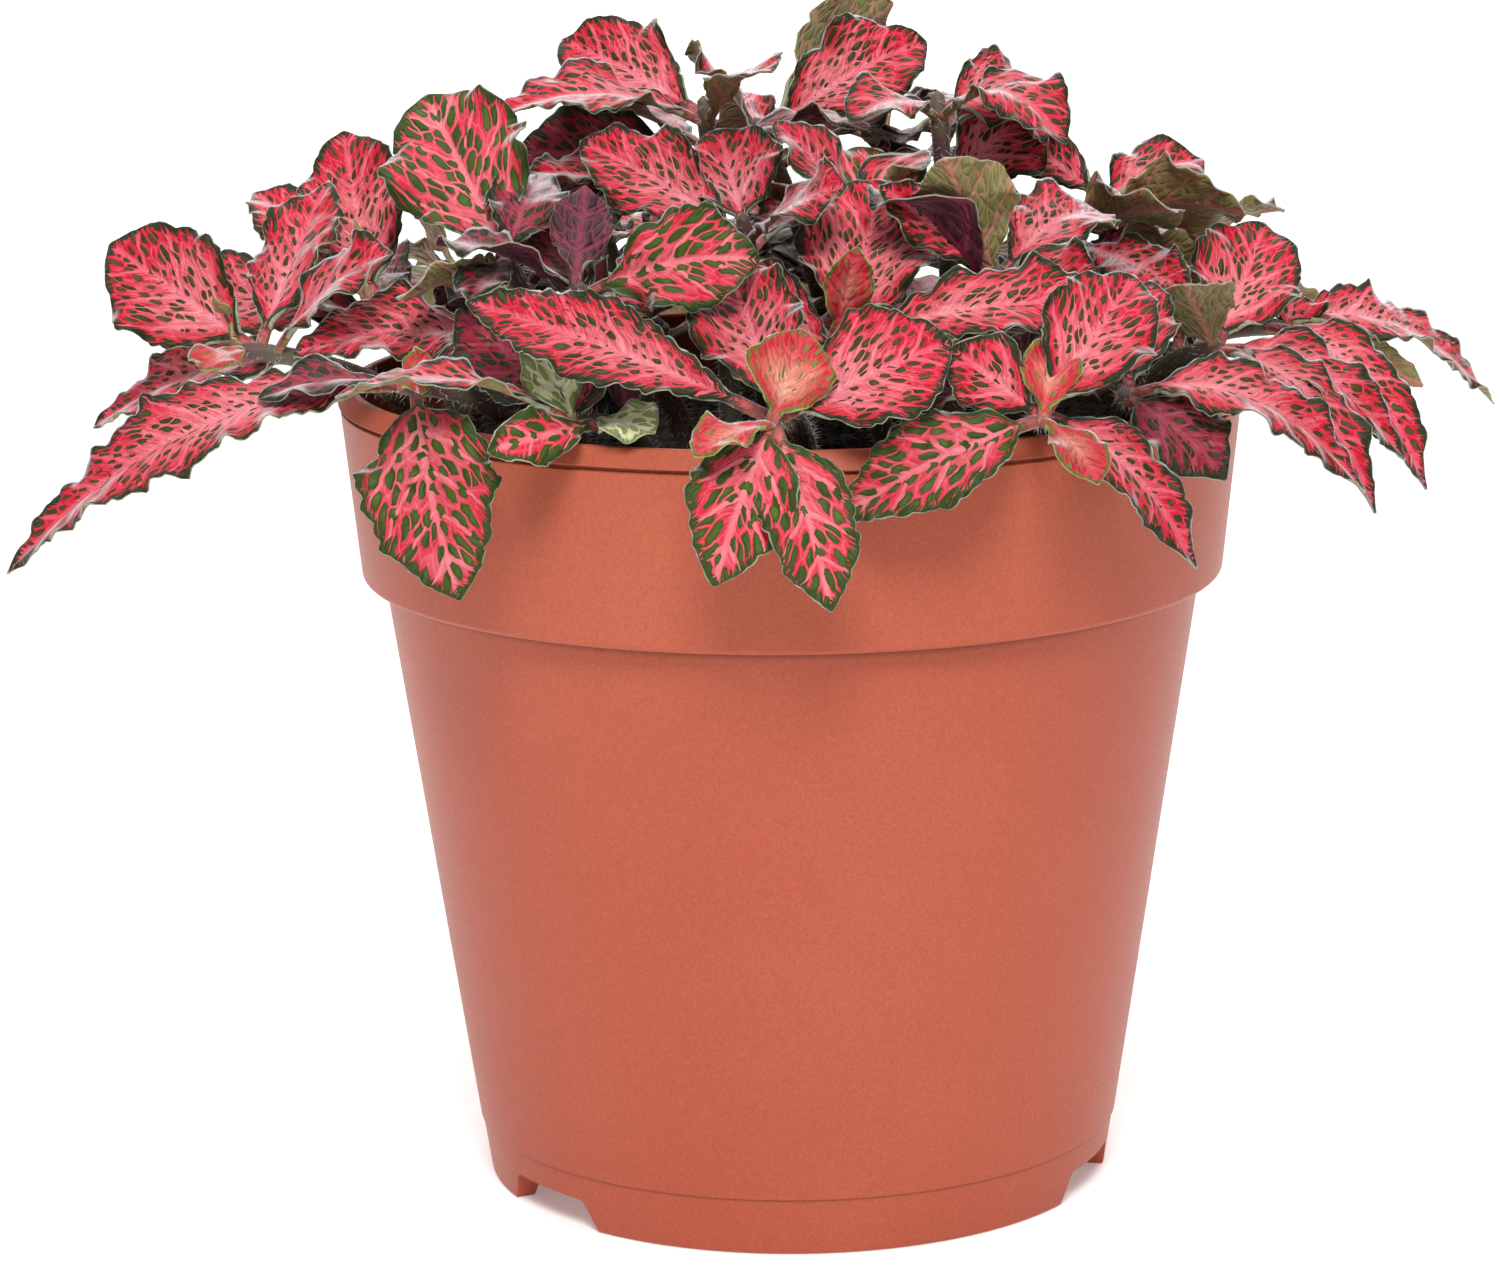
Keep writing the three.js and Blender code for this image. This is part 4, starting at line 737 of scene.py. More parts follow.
def linear(hex_colour):
    """An sRGB colour such as "#C4603F" as linear red, green, blue and alpha."""
    values = [int(hex_colour[i : i + 2], 16) / 255 for i in (1, 3, 5)]
    return [v / 12.92 if v <= 0.04045 else ((v + 0.055) / 1.055) ** 2.4 for v in values] + [1.0]


def add(tree, kind, inputs=(), out=0, **settings):
    """Adds a node with its settings, links or sets its inputs in order (or by number, from a dict;
    None leaves one alone), and gives back one of its outputs."""
    made = tree.nodes.new(kind)
    for key, value in settings.items():
        setattr(made, key, value)
    pairs = inputs.items() if isinstance(inputs, dict) else enumerate(inputs)
    for key, value in pairs:
        if isinstance(value, bpy.types.NodeSocket):
            tree.links.new(value, made.inputs[key])
        elif value is not None:
            made.inputs[key].default_value = value
    return made.outputs[out] if made.outputs else made


def per(size):
    """The scale of a noise on Object coordinates whose pattern is this many millimetres wide."""
    return 1 / (size * MM)


def new_material(name, roughness, specular=0.5, ior=1.45, sheen=0.0, sheen_roughness=0.4):
    """A material with its shader. What is the same all over is set on the shader itself."""
    material = bpy.data.materials.new(name)
    material.use_nodes = True
    shader = material.node_tree.nodes["Principled BSDF"]
    values = {
        "Roughness": roughness,
        "Specular IOR Level": specular,
        "IOR": ior,
        "Sheen Weight": sheen,
        "Sheen Roughness": sheen_roughness,
    }
    for label, value in values.items():
        shader.inputs[label].default_value = value
    return material, material.node_tree, shader


def mottled(tree, size, low, high, low_colour, high_colour, detail=2.0, roughness=0.5):
    """A noise this many millimetres wide, with the place that it reads, and the colour that goes
    from one to the other as the noise goes from low to high."""
    where = add(tree, "ShaderNodeTexCoord", out=3)
    noise = add(tree, "ShaderNodeTexNoise", {0: where, 2: per(size), 3: detail, 4: roughness})
    fac = add(tree, "ShaderNodeMapRange", [noise, low, high, 0.0, 1.0])
    colours = {0: fac, 6: linear(low_colour), 7: linear(high_colour)}
    return where, noise, add(tree, "ShaderNodeMix", colours, **RGBA)


def wire(tree, shader, **values):
    """Links what varies from place to place to the shader's inputs of these names."""
    for label, value in values.items():
        tree.links.new(value, shader.inputs[label.replace("_", " ")])


# ---- Leaf materials ----
# A living leaf: a waxy skin with a soft gloss over a coloured net of veins. Its fine velvet gives
# the shader a sheen, and where the upper face is seen aslant a whitish painted sheen is mixed into
# its colour. Lengths are in millimetres on the blade.
LEAF_ROUGHNESS = 0.42
LEAF_SPECULAR = 0.3
LEAF_IOR = 1.42
VELVET_ROUGHNESS = 0.25
# Painted sheen: the whitish colour mixed into the upper face where it is seen aslant, and its most.
PAINTED_SHEEN_COLOUR = "#EADFE2"
PAINTED_SHEEN_MOST = 0.8
STALK_COLOUR = "#96574C"
CELL_ALONG = 1.8  # from one green cell to the next along a side vein, measured across the leaf
CELL_WIDE = 2.7  # and from one to the next along the midrib
CELL_JITTER = 0.78  # how irregular they lie, up to 1
WANDER_SCALE = 0.32  # the veins wander once in about 3 mm
WANDER = (2.2, 1.6)  # by this much along the leaf and across it
MIDRIB_FADE = (0.16, 0.75)  # from its full colour to none, on either side of the leaf's middle
SIDE_VEIN_FADE = (0.03, 0.1)  # the same for a side vein, as shares of their spacing
SKIN_GRAIN_SCALE = 6.0
BRIGHTNESS = (0.84, 1.08)  # of the darkest and the brightest leaf
# Three noises that follow the side veins. stretch is their scale along the leaf and across it.
RAGGED = dict(stretch=(0.7, 1.4), scale=1.9, detail=3.0, roughness=0.6)  # outlines of green cells
TEETH = dict(stretch=(2.3, 0.35), scale=1.0, detail=3.0, roughness=0.7)  # red into the green edge
STREAKS = dict(stretch=(3.2, 0.5), scale=1.0, detail=4.0, roughness=0.65)  # of the red ground

# The five colourings. cell is how many cells lie where the spacings above give one, spot and
# spread are the least size of a green oval and how much more it may have, vein is the width of the
# net between them, and base_clear makes them smaller near the stalk. edge is the width of the green
# edge. vein_show and fine_vein are how clear the large veins and the net are. silk and silk_reach
# are how pale the ground is near the stalk and how far that goes; the key after them gives the tip
# the same pale colour, partly as paler skin and partly as painted sheen.
RED_SPOTTED = dict(
    sheen=0.14, cell=1.45, spot=0.05, spread=0.2, vein=0.05, base_clear=0.12, edge=0.85,
    vein_show=0.6, fine_vein=0.45, silk=0.7, silk_reach=0.02, pale_and_sheen_tip=0.0,
    ground="#B20422", bright="#DC1438", vein_colour="#F0687C", silk_and_sheen_colour="#FCC6C8",
    green="#4F4C1C", green_dark="#2E3010", edge_colour="#222B1C", rim_colour="#B4B8A0",
    under="#6A7040", under_light="#8C8E54", under_vein="#B4806A",
)
LOOKS = {
    "living_leaf_red_spotted": RED_SPOTTED,
    "living_leaf_red_netted": dict(
        RED_SPOTTED, cell=1.0, spot=0.2, spread=0.14, vein=0.07, base_clear=0.06, edge=1.0,
        vein_show=0.75, fine_vein=0.4, silk=0.35, pale_and_sheen_tip=0.55,
        ground="#C4102E", bright="#DE2646", vein_colour="#F07884",
        green="#4E6418", green_dark="#33450F", edge_colour="#2C4018",
    ),
    "living_leaf_young": dict(
        RED_SPOTTED, cell=1.6, spot=-0.08, base_clear=0.1, edge=0.4,
        vein_show=0.5, silk=0.9, silk_reach=0.12,
        ground="#B01026", bright="#CC2838", vein_colour="#D8505A", silk_and_sheen_colour="#F6D2AC",
        green="#8A8A34", green_dark="#6A7028", edge_colour="#5C6A2E", rim_colour="#C4BC78",
        under="#7E7444", under_light="#978A58", under_vein="#8E5A4C",
    ),
    # Painted shade: the red leaf darker on both faces, for leaves that lie in shade inside the
    # bush.
    "living_leaf_red_in_painted_shade": dict(
        RED_SPOTTED, cell=1.3, spot=0.1, edge=1.1, silk=0.3,
        ground="#7A0E22", bright="#9C2238", vein_colour="#A84458", silk_and_sheen_colour="#C77C86",
        green="#3A3E1C", green_dark="#232A14",
        under="#3C262C", under_light="#542C36", under_vein="#7E3044",
    ),
    "living_leaf_pale_green": dict(
        RED_SPOTTED, sheen=0.1, cell=1.3, spot=0.24, spread=0.08, base_clear=0.05, edge=0.5,
        vein_show=0.75, silk=0.4,
        ground="#C8C494", bright="#D4D0A4", vein_colour="#E0DCBC", silk_and_sheen_colour="#E2DCBE",
        green="#93A368", green_dark="#7C8E55", edge_colour="#6C8048", rim_colour="#D4D0B2",
        under="#97966A", under_light="#ADAA7C", under_vein="#BBAF8C",
    ),
}


def read_leaf(tree):
    """What a leaf's mesh tells its material: the place on the blade, a number of the leaf's own,
    the distance from its edge, the share of the blade and, as 1 or 0, if this is the lower face."""
    place, edge = (
        add(tree, "ShaderNodeAttribute", attribute_name=label, out=1)
        for label in ("leaf_place", "leaf_edge")
    )
    leaf = SimpleNamespace(place=place)
    leaf.run, leaf.across, leaf.seed = add(tree, "ShaderNodeSeparateXYZ", [place]).node.outputs
    leaf.from_edge, leaf.share, leaf.under = add(tree, "ShaderNodeSeparateXYZ", [edge]).node.outputs
    return leaf


def add_vein_lines(tree, leaf):
    """leaf.line stays the same along a side vein and leaf.span grows along it. Both wander slowly,
    so that no vein is straight. leaf.vein is 1 on the midrib and on the side veins."""
    wander = add(tree, "ShaderNodeTexNoise", {0: leaf.place, 2: WANDER_SCALE, 3: 2.0}, out=1)
    wander = add(tree, "ShaderNodeSeparateXYZ", [wander]).node.outputs
    drift_along, drift_across = (
        add(tree, "ShaderNodeMath", [part, size, -size / 2], operation="MULTIPLY_ADD")
        for part, size in zip(wander, WANDER)
    )
    aside = add(tree, "ShaderNodeMath", [leaf.across], operation="ABSOLUTE")
    bent = add(tree, "ShaderNodeMath", [aside, VEIN_CURVE, VEIN_SLANT], operation="MULTIPLY_ADD")
    carried = add(tree, "ShaderNodeMath", [bent, aside], operation="MULTIPLY")
    straight = add(tree, "ShaderNodeMath", [leaf.run, carried], operation="SUBTRACT")
    leaf.line = add(tree, "ShaderNodeMath", [straight, drift_along], operation="ADD")
    leaf.span = add(tree, "ShaderNodeMath", [leaf.across, drift_across], operation="ADD")

    midrib = add(tree, "ShaderNodeMapRange", [aside, *MIDRIB_FADE, 1.0, 0.0], **SMOOTH)
    turn = add(tree, "ShaderNodeMath", [leaf.line, 1 / VEIN_SPACING], operation="MULTIPLY")
    for operation, value in (("FRACT", None), ("SUBTRACT", 0.5), ("ABSOLUTE", None)):
        turn = add(tree, "ShaderNodeMath", [turn, value], operation=operation)
    side_vein = add(tree, "ShaderNodeMapRange", [turn, *SIDE_VEIN_FADE, 1.0, 0.0], **SMOOTH)
    leaf.vein = add(tree, "ShaderNodeMath", [midrib, side_vein], operation="MAXIMUM")


def vein_noise(tree, leaf, stretch, scale, detail, roughness):
    """A noise that follows the side veins and is another one on each leaf."""
    line, span = (
        add(tree, "ShaderNodeMath", [part, by], operation="MULTIPLY")
        for part, by in zip((leaf.line, leaf.span), stretch)
    )
    at = add(tree, "ShaderNodeCombineXYZ", [line, span, leaf.seed])
    return add(tree, "ShaderNodeTexNoise", {0: at, 2: scale, 3: detail, 4: roughness})


def add_cells(tree, leaf, look):
    """The green cells: ovals of unlike sizes that never cross a vein. leaf.gap is the distance from
    the net between them, leaf.inside how far in its oval a point lies, and leaf.green 1 there."""
    line = add(tree, "ShaderNodeMath", [leaf.line, look["cell"] / CELL_WIDE], operation="MULTIPLY")
    span = add(tree, "ShaderNodeMath", [leaf.span, look["cell"] / CELL_ALONG], operation="MULTIPLY")
    span = add(tree, "ShaderNodeMath", [leaf.seed, span], operation="ADD")
    cells = {0: add(tree, "ShaderNodeCombineXYZ", [line, span]), 2: 1.0, 8: CELL_JITTER}
    flat = {"voronoi_dimensions": "2D"}
    leaf.gap = add(tree, "ShaderNodeTexVoronoi", cells, feature="DISTANCE_TO_EDGE", **flat)
    nearest = add(tree, "ShaderNodeTexVoronoi", cells, **flat).node.outputs
    luck = add(tree, "ShaderNodeSeparateXYZ", [nearest["Color"]]).node.outputs
    leaf.luck = luck[1]

    near_base = add(tree, "ShaderNodeMapRange", [leaf.share, 0.05, 0.45, look["base_clear"], 0.0])
    ragged = vein_noise(tree, leaf, **RAGGED)
    size = add(
        tree, "ShaderNodeMath", [luck[0], look["spread"], look["spot"]], operation="MULTIPLY_ADD"
    )
    size = add(tree, "ShaderNodeMath", [ragged, 0.34, size], operation="MULTIPLY_ADD")
    size = add(tree, "ShaderNodeMath", [size, near_base], operation="SUBTRACT")
    size = add(tree, "ShaderNodeMath", [leaf.vein, -0.2, size], operation="MULTIPLY_ADD")
    oval = add(tree, "ShaderNodeMath", [size, nearest["Distance"]], operation="SUBTRACT")
    web = add(tree, "ShaderNodeMath", [leaf.gap, look["vein"]], operation="SUBTRACT")
    leaf.inside = add(tree, "ShaderNodeMath", [oval, web, 0.08], operation="SMOOTH_MIN")
    leaf.green = add(tree, "ShaderNodeMapRange", [leaf.inside, -0.02, 0.03, 0.0, 1.0], **SMOOTH)


def add_border(tree, leaf, look):
    """leaf.border is 1 in the green edge, into which the veins run as red teeth, and leaf.rim shows
    the fine pale outline."""
    teeth = vein_noise(tree, leaf, **TEETH)
    reach = [look["edge"] * share for share in (0.3, 1.7)]
    reach = add(tree, "ShaderNodeMapRange", [teeth, 0.38, 0.62, *reach])
    into = add(tree, "ShaderNodeMath", [leaf.from_edge, reach], operation="SUBTRACT")
    leaf.border = add(tree, "ShaderNodeMapRange", [into, -0.14, 0.14, 1.0, 0.0], **SMOOTH)
    leaf.rim = add(tree, "ShaderNodeMapRange", [leaf.from_edge, 0.0, 0.1, 0.6, 0.0], **SMOOTH)


def silk_and_tip_sheen_of(tree, leaf, look):
    """Where the ground is pale and silky in streaks towards the stalk, and paler tips with painted
    sheen.
    """
    reach = 0.25 - look["silk_reach"]
    silk = add(tree, "ShaderNodeMath", [leaf.share, 0.6, reach], operation="MULTIPLY_ADD")
    silk = add(tree, "ShaderNodeMath", [leaf.streak, silk], operation="SUBTRACT")
    silk = add(tree, "ShaderNodeMapRange", [silk, -0.2, 0.46, 0.0, look["silk"]])
    # The tip: partly paler skin, partly painted sheen, in the same pale colour as the silk.
    pale_and_sheen_tip = add(tree, "ShaderNodeMapRange", [leaf.share, 0.72, 0.96, 0.0, look["pale_and_sheen_tip"]])
    silk = add(tree, "ShaderNodeMath", [pale_and_sheen_tip, silk], operation="MAXIMUM")
    inward = add(tree, "ShaderNodeMapRange", [leaf.from_edge, 1.2, 4.0, 0.05, 1.0])
    return add(tree, "ShaderNodeMath", [silk, inward], operation="MULTIPLY")


def upper_layers(tree, leaf, look):
    """What lies over the red ground, from the lowest layer up, each with where it shows. Greens are
    each a little unlike the next, darkest along their outline, and lighter in their middle, a
    painted highlight on each cushion."""
    net = add(tree, "ShaderNodeMapRange", [leaf.gap, 0.0, 0.09, look["fine_vein"], 0.0], **SMOOTH)
    veins = add(tree, "ShaderNodeMath", [leaf.vein, net], operation="MAXIMUM")
    veins = add(tree, "ShaderNodeMath", [veins, look["vein_show"]], operation="MULTIPLY")
    # Painted highlight: a green cell turns lighter towards its middle, where it swells.
    middle = add(tree, "ShaderNodeMapRange", [leaf.inside, 0.02, 0.22, 0.0, 1.0])
    middle = add(tree, "ShaderNodeMath", [middle, leaf.luck], operation="MULTIPLY")
    green, edge = (
        add(tree, "ShaderNodeMix", {0: factor, 6: look[dark], 7: look[light]}, **RGBA)
        for factor, dark, light in (
            (middle, "green_dark", "green"),
            (leaf.streak_fac, "edge_colour", "green_dark"),
        )
    )
    stalk = add(tree, "ShaderNodeMapRange", [leaf.share, -0.06, 0.03, 0.85, 0.0])
    return (
        (leaf.streak_fac, look["bright"]),
        (veins, look["vein_colour"]),
        (silk_and_tip_sheen_of(tree, leaf, look), look["silk_and_sheen_colour"]),
        (leaf.green, green),
        (leaf.border, edge),
        (leaf.rim, look["rim_colour"]),
        (stalk, linear(STALK_COLOUR)),
    )


def lower_layers(tree, leaf, look):
    """The same for the lower face: brownish pink veins stand out from dull olive."""
    veins = add(tree, "ShaderNodeMapRange", [leaf.gap, 0.02, 0.14, 0.75, 0.0], **SMOOTH)
    veins = add(tree, "ShaderNodeMath", [veins, leaf.vein], operation="MAXIMUM")
    return (
        (leaf.streak_fac, look["under_light"]),
        (veins, look["under_vein"]),
        (leaf.rim, look["rim_colour"]),
    )


def leaf_bump(tree, leaf):
    """Cells stand up as small cushions, the veins lie in grooves, and the skin has a fine grain."""
    height = add(tree, "ShaderNodeMapRange", [leaf.gap, 0.0, 0.35, 0.0, 1.0], **SMOOTH)
    grain = add(tree, "ShaderNodeTexNoise", {0: leaf.place, 2: SKIN_GRAIN_SCALE, 3: 2.0})
    for relief, by in ((leaf.vein, -0.9), (grain, 0.35), (leaf.streak, 0.5)):
        height = add(tree, "ShaderNodeMath", [relief, by, height], operation="MULTIPLY_ADD")
    return add(tree, "ShaderNodeBump", {0: 0.8, 1: 0.22 * MM, 3: height})


def painted_sheen_of(tree, leaf):
    """How much painted sheen the upper face gets: seen from the side it turns silvery, in patches.
    """
    aslant = add(tree, "ShaderNodeLayerWeight", {0: 0.5}, out=1)
    painted_sheen = add(tree, "ShaderNodeMapRange", [aslant, 0.5, 0.9, 0.0, PAINTED_SHEEN_MOST], **SMOOTH)
    patchy = add(tree, "ShaderNodeMath", [leaf.streak_fac, 0.35, 0.65], operation="MULTIPLY_ADD")
    above = add(tree, "ShaderNodeMath", [patchy, leaf.under], operation="SUBTRACT", use_clamp=True)
    return add(tree, "ShaderNodeMath", [painted_sheen, above], operation="MULTIPLY")


def leaf_material(name, look):
    """The material of leaves of one colouring, with both their faces."""
    material, tree, shader = new_material(
        name, LEAF_ROUGHNESS, LEAF_SPECULAR, LEAF_IOR, look["sheen"], VELVET_ROUGHNESS
    )
    look = {key: linear(value) if isinstance(value, str) else value for key, value in look.items()}
    leaf = read_leaf(tree)
    add_vein_lines(tree, leaf)
    add_cells(tree, leaf, look)
    add_border(tree, leaf, look)
    leaf.streak = vein_noise(tree, leaf, **STREAKS)
    leaf.streak_fac = add(tree, "ShaderNodeMapRange", [leaf.streak, 0.28, 0.76, 0.0, 1.0])

    faces = []
    for colour, layers in (
        (look["ground"], upper_layers(tree, leaf, look)),
        (look["under"], lower_layers(tree, leaf, look)),
    ):
        for factor, layer in layers:
            colour = add(tree, "ShaderNodeMix", {0: factor, 6: colour, 7: layer}, **RGBA)
        faces.append(colour)
    colour = add(tree, "ShaderNodeMix", {0: leaf.under, 6: faces[0], 7: faces[1]}, **RGBA)

    # No two leaves are quite the same brightness.
    own = add(tree, "ShaderNodeTexWhiteNoise", {1: leaf.seed}, noise_dimensions="1D")
    own = add(tree, "ShaderNodeMapRange", [own, 0.0, 1.0, *BRIGHTNESS])
    colour = add(tree, "ShaderNodeHueSaturation", {2: own, 4: colour})
    # Painted sheen: whitish where the upper face is seen aslant.
    painted_sheen = {0: painted_sheen_of(tree, leaf), 6: colour, 7: linear(PAINTED_SHEEN_COLOUR)}
    colour = add(tree, "ShaderNodeMix", painted_sheen, **RGBA)
    wire(tree, shader, Base_Color=colour, Normal=leaf_bump(tree, leaf))
    return material


# ---- Materials of stems, hairs, pot and soil ----
# How wide their patterns are.
STEM_BLOTCH = 7.5
STEM_GRAIN = 0.55
HAIR_TONE = 3.3
POT_CLOUD = 45.0
POT_FLECK = 0.4
POT_GRAIN = 0.28

# Painted shade in the corners under the band, under the lip and above the foot step: where each
# begins, how far it reaches down, and how much of the light colour is left there.
PAINTED_SHADE_CORNERS = (
    (BAND_BOTTOM_Z - BAND_ROUNDING + 0.05, 1.6, 0.35),
    (POT_HEIGHT - RIM_BEVEL - 0.02, 0.9, 0.4),
    (BODY_BOTTOM_Z + 0.35, 0.5, 0.6),
)


def stem_material():
    """Young green stem, flushed purple by the light, matt and softly hairy."""
    material, tree, shader = new_material("living_stem_green_purple", 0.6, sheen=0.3)
    where, _, colour = mottled(tree, STEM_BLOTCH, 0.38, 0.64, "#5C5A44", "#543438", detail=3.0)
    fine = add(tree, "ShaderNodeTexNoise", {0: where, 2: per(STEM_GRAIN), 3: 2.0})
    bump = add(tree, "ShaderNodeBump", {0: 0.4, 1: 0.1 * MM, 3: fine})
    wire(tree, shader, Base_Color=colour, Normal=bump)
    return material


def hair_material():
    """Plant hair: clear and thin, so it looks white wherever light catches it."""
    material, tree, shader = new_material("plant_hair_white", 0.45, sheen=0.2)
    _, _, colour = mottled(tree, HAIR_TONE, 0.0, 1.0, "#E9E2D2", "#D9C9BE")
    wire(tree, shader, Base_Color=colour)
    return material


def pot_material():
    """Polypropylene, injection moulded in a finely sparked tool: one even terracotta colour, a
    satin surface with a grain that is just felt, and a few flow marks too faint to name."""
    name = "moulded_polypropylene_terracotta"
    material, tree, shader = new_material(name, 0.5, specular=0.25, ior=1.35)
    where, _, colour = mottled(tree, POT_CLOUD, 0.3, 0.7, "#AB533D", "#B15A43", detail=3.0)
    # Flecks of paler and darker pigment about a third of a millimetre across.
    light = add(tree, "ShaderNodeTexNoise", {0: where, 2: per(POT_FLECK), 3: 2.0, 4: 0.5})
    light = add(tree, "ShaderNodeMapRange", [light, 0.3, 0.7, 0.9, 1.1])
    # Painted shade: the corners under the band, under the lip and above the foot step are darkened.
    height = add(tree, "ShaderNodeSeparateXYZ", [where], out=2)
    for z, depth, dark in PAINTED_SHADE_CORNERS:
        below = add(tree, "ShaderNodeMath", [z * MM, height], operation="SUBTRACT")
        near = add(tree, "ShaderNodeMapRange", [below, 0.0, depth * MM, dark, 1.0], **SMOOTH)
        over = add(tree, "ShaderNodeMath", [below, 0.0], operation="LESS_THAN")
        near = add(tree, "ShaderNodeMath", [near, over], operation="MAXIMUM")
        light = add(tree, "ShaderNodeMath", [light, near], operation="MULTIPLY")
    colour = add(tree, "ShaderNodeHueSaturation", {2: light, 4: colour})
    grain = add(tree, "ShaderNodeTexNoise", {0: where, 2: per(POT_GRAIN), 3: 2.0})
    bump = add(tree, "ShaderNodeBump", {0: 0.2, 1: 0.03 * MM, 3: grain})
    satin = add(tree, "ShaderNodeMapRange", [grain, 0.3, 0.7, 0.36, 0.48])
    wire(tree, shader, Base_Color=colour, Normal=bump, Roughness=satin)
    return material


def soil_material(name, dark, light, clod_size):
    """Moist peat compost: nearly black, matt, fibrous, with a wet glint here and there."""
    material, tree, shader = new_material(name, 0.85, specular=0.3)
    _, clod, colour = mottled(tree, clod_size, 0.35, 0.7, dark, light, detail=5.0, roughness=0.6)
    bump = add(tree, "ShaderNodeBump", {0: 0.8, 1: 0.5 * MM, 3: clod})
    wet = add(tree, "ShaderNodeMapRange", [clod, 0.3, 0.7, 0.6, 0.95])
    wire(tree, shader, Base_Color=colour, Normal=bump, Roughness=wet)
    return material


# ---- The pot's mesh ----
def rounded_profile(corners):
    """Points along a line of (radius, height, rounding), with an arc at each rounded corner."""
    points = []
    for i, (r, z, rounding) in enumerate(corners):
        here = Vector((r, z))
        if rounding == 0 or i in (0, len(corners) - 1):
            points.append(here)
            continue
        before = (Vector(corners[i - 1][:2]) - here).normalized()
        after = (Vector(corners[i + 1][:2]) - here).normalized()
        half = before.angle(after) / 2
        back = rounding / math.tan(half)
        centre = here + (before + after).normalized() * (rounding / math.sin(half))
        first, last = here + before * back - centre, here + after * back - centre
        sweep = first.angle_signed(last)
        for k in range(ARC_STEPS + 1):
            points.append(centre + Matrix.Rotation(-sweep * k / ARC_STEPS, 2) @ first)
    return points


def pot_profile():
    """The pot's section from the middle of its underside, round the rim, to the middle of its
    floor. A fine groove runs round it under the lip of the rim."""
    lip_bottom = POT_HEIGHT - RIM_BEVEL
    return rounded_profile(
        [
            (0, FLOOR_BOTTOM_Z, 0),
            (FOOT_RADIUS - FOOT_RIM_WIDTH - FOOT_RIM_TAPER, FLOOR_BOTTOM_Z, 0.5),
            (FOOT_RADIUS - FOOT_RIM_WIDTH, 0, 0.25),
            (FOOT_RADIUS, 0, 0.3),
            (BODY_BOTTOM_RADIUS - FOOT_STEP, BODY_BOTTOM_Z, 0.05),
            (BODY_BOTTOM_RADIUS, BODY_BOTTOM_Z + FOOT_STEP_HEIGHT, 0.05),
            (BODY_TOP_RADIUS, BAND_BOTTOM_Z - BAND_ROUNDING, 0.4),
            (BAND_BOTTOM_RADIUS, BAND_BOTTOM_Z - BAND_ROUNDING, 0.9),
            (RIM_RADIUS - BAND_TOP_INSET, lip_bottom - LIP_GROOVE_BOTTOM, 0.1),
            (RIM_RADIUS - LIP_GROOVE_DEPTH, lip_bottom - LIP_GROOVE_TOP, 0.1),
            (RIM_RADIUS - LIP_INSET, lip_bottom, 0.1),
            (RIM_TOP_RADIUS, POT_HEIGHT, 0.35),
            (RIM_TOP_RADIUS - WALL + 0.2, POT_HEIGHT, 0.3),
            (RIM_RADIUS - RIM_LIP - WALL, BAND_TOP_Z, 0.3),
            (BAND_BOTTOM_RADIUS - WALL, BAND_BOTTOM_Z, 0.4),
            (BODY_TOP_RADIUS - WALL, SHOULDER_Z, 0.4),
            (BODY_BOTTOM_RADIUS - WALL, FLOOR_CORNER_Z, 0.5),
            (BODY_BOTTOM_RADIUS - WALL - FLOOR_ROUNDING, FLOOR_TOP_Z, 0.4),
            (0, FLOOR_TOP_Z, 0),
        ]
    )


def add_prism(made, near, far):
    """Joins two outlines of equally many points into a closed block of the mesh."""
    lower = [made.verts.new(p * MM) for p in near]
    upper = [made.verts.new(p * MM) for p in far]
    made.faces.new(lower)
    made.faces.new(upper)
    for i in range(len(near)):
        j = (i + 1) % len(near)
        made.faces.new((lower[i], lower[j], upper[j], upper[i]))


def pot_cutters():
    """What is cut from the pot: the notches under its foot ring and the holes in its floor."""
    made = bmesh.new()
    narrow = NOTCH_TOP_DEGREES / 2
    half = [
        (NOTCH_BOTTOM_DEGREES / 2, -CUTTER_REACH),
        (narrow + NOTCH_CORNER_DEGREES, NOTCH_HEIGHT - NOTCH_CORNER),
        (narrow + 0.3 * NOTCH_CORNER_DEGREES, NOTCH_HEIGHT - 0.3 * NOTCH_CORNER),
        (narrow - NOTCH_CORNER_DEGREES, NOTCH_HEIGHT),
    ]
    section = [(-degrees, z) for degrees, z in half] + half[::-1]
    for middle in NOTCH_ANGLES:
        rings = []
        for radius in (FOOT_RADIUS - FOOT_RIM_WIDTH - NOTCH_OVERCUT, FOOT_RADIUS + NOTCH_OVERCUT):
            turns = [(math.radians(middle + degrees), z) for degrees, z in section]
            rings.append(
                [Vector((radius * math.sin(t), -radius * math.cos(t), z)) for t, z in turns]
            )
        add_prism(made, *rings)
    circle = [2 * math.pi * j / DRAIN_HOLE_SIDES for j in range(DRAIN_HOLE_SIDES)]
    circle = [(DRAIN_HOLE_RADIUS * math.cos(t), DRAIN_HOLE_RADIUS * math.sin(t)) for t in circle]
    ends = (FLOOR_BOTTOM_Z - CUTTER_REACH, FLOOR_TOP_Z + CUTTER_REACH)
    for i in range(DRAIN_HOLES):
        turn = 2 * math.pi * (i + 0.5) / DRAIN_HOLES
        x, y = DRAIN_CIRCLE_RADIUS * math.sin(turn), -DRAIN_CIRCLE_RADIUS * math.cos(turn)
        add_prism(made, *([Vector((x + a, y + b, z)) for a, b in circle] for z in ends))
    bmesh.ops.recalc_face_normals(made, faces=made.faces)
    return made


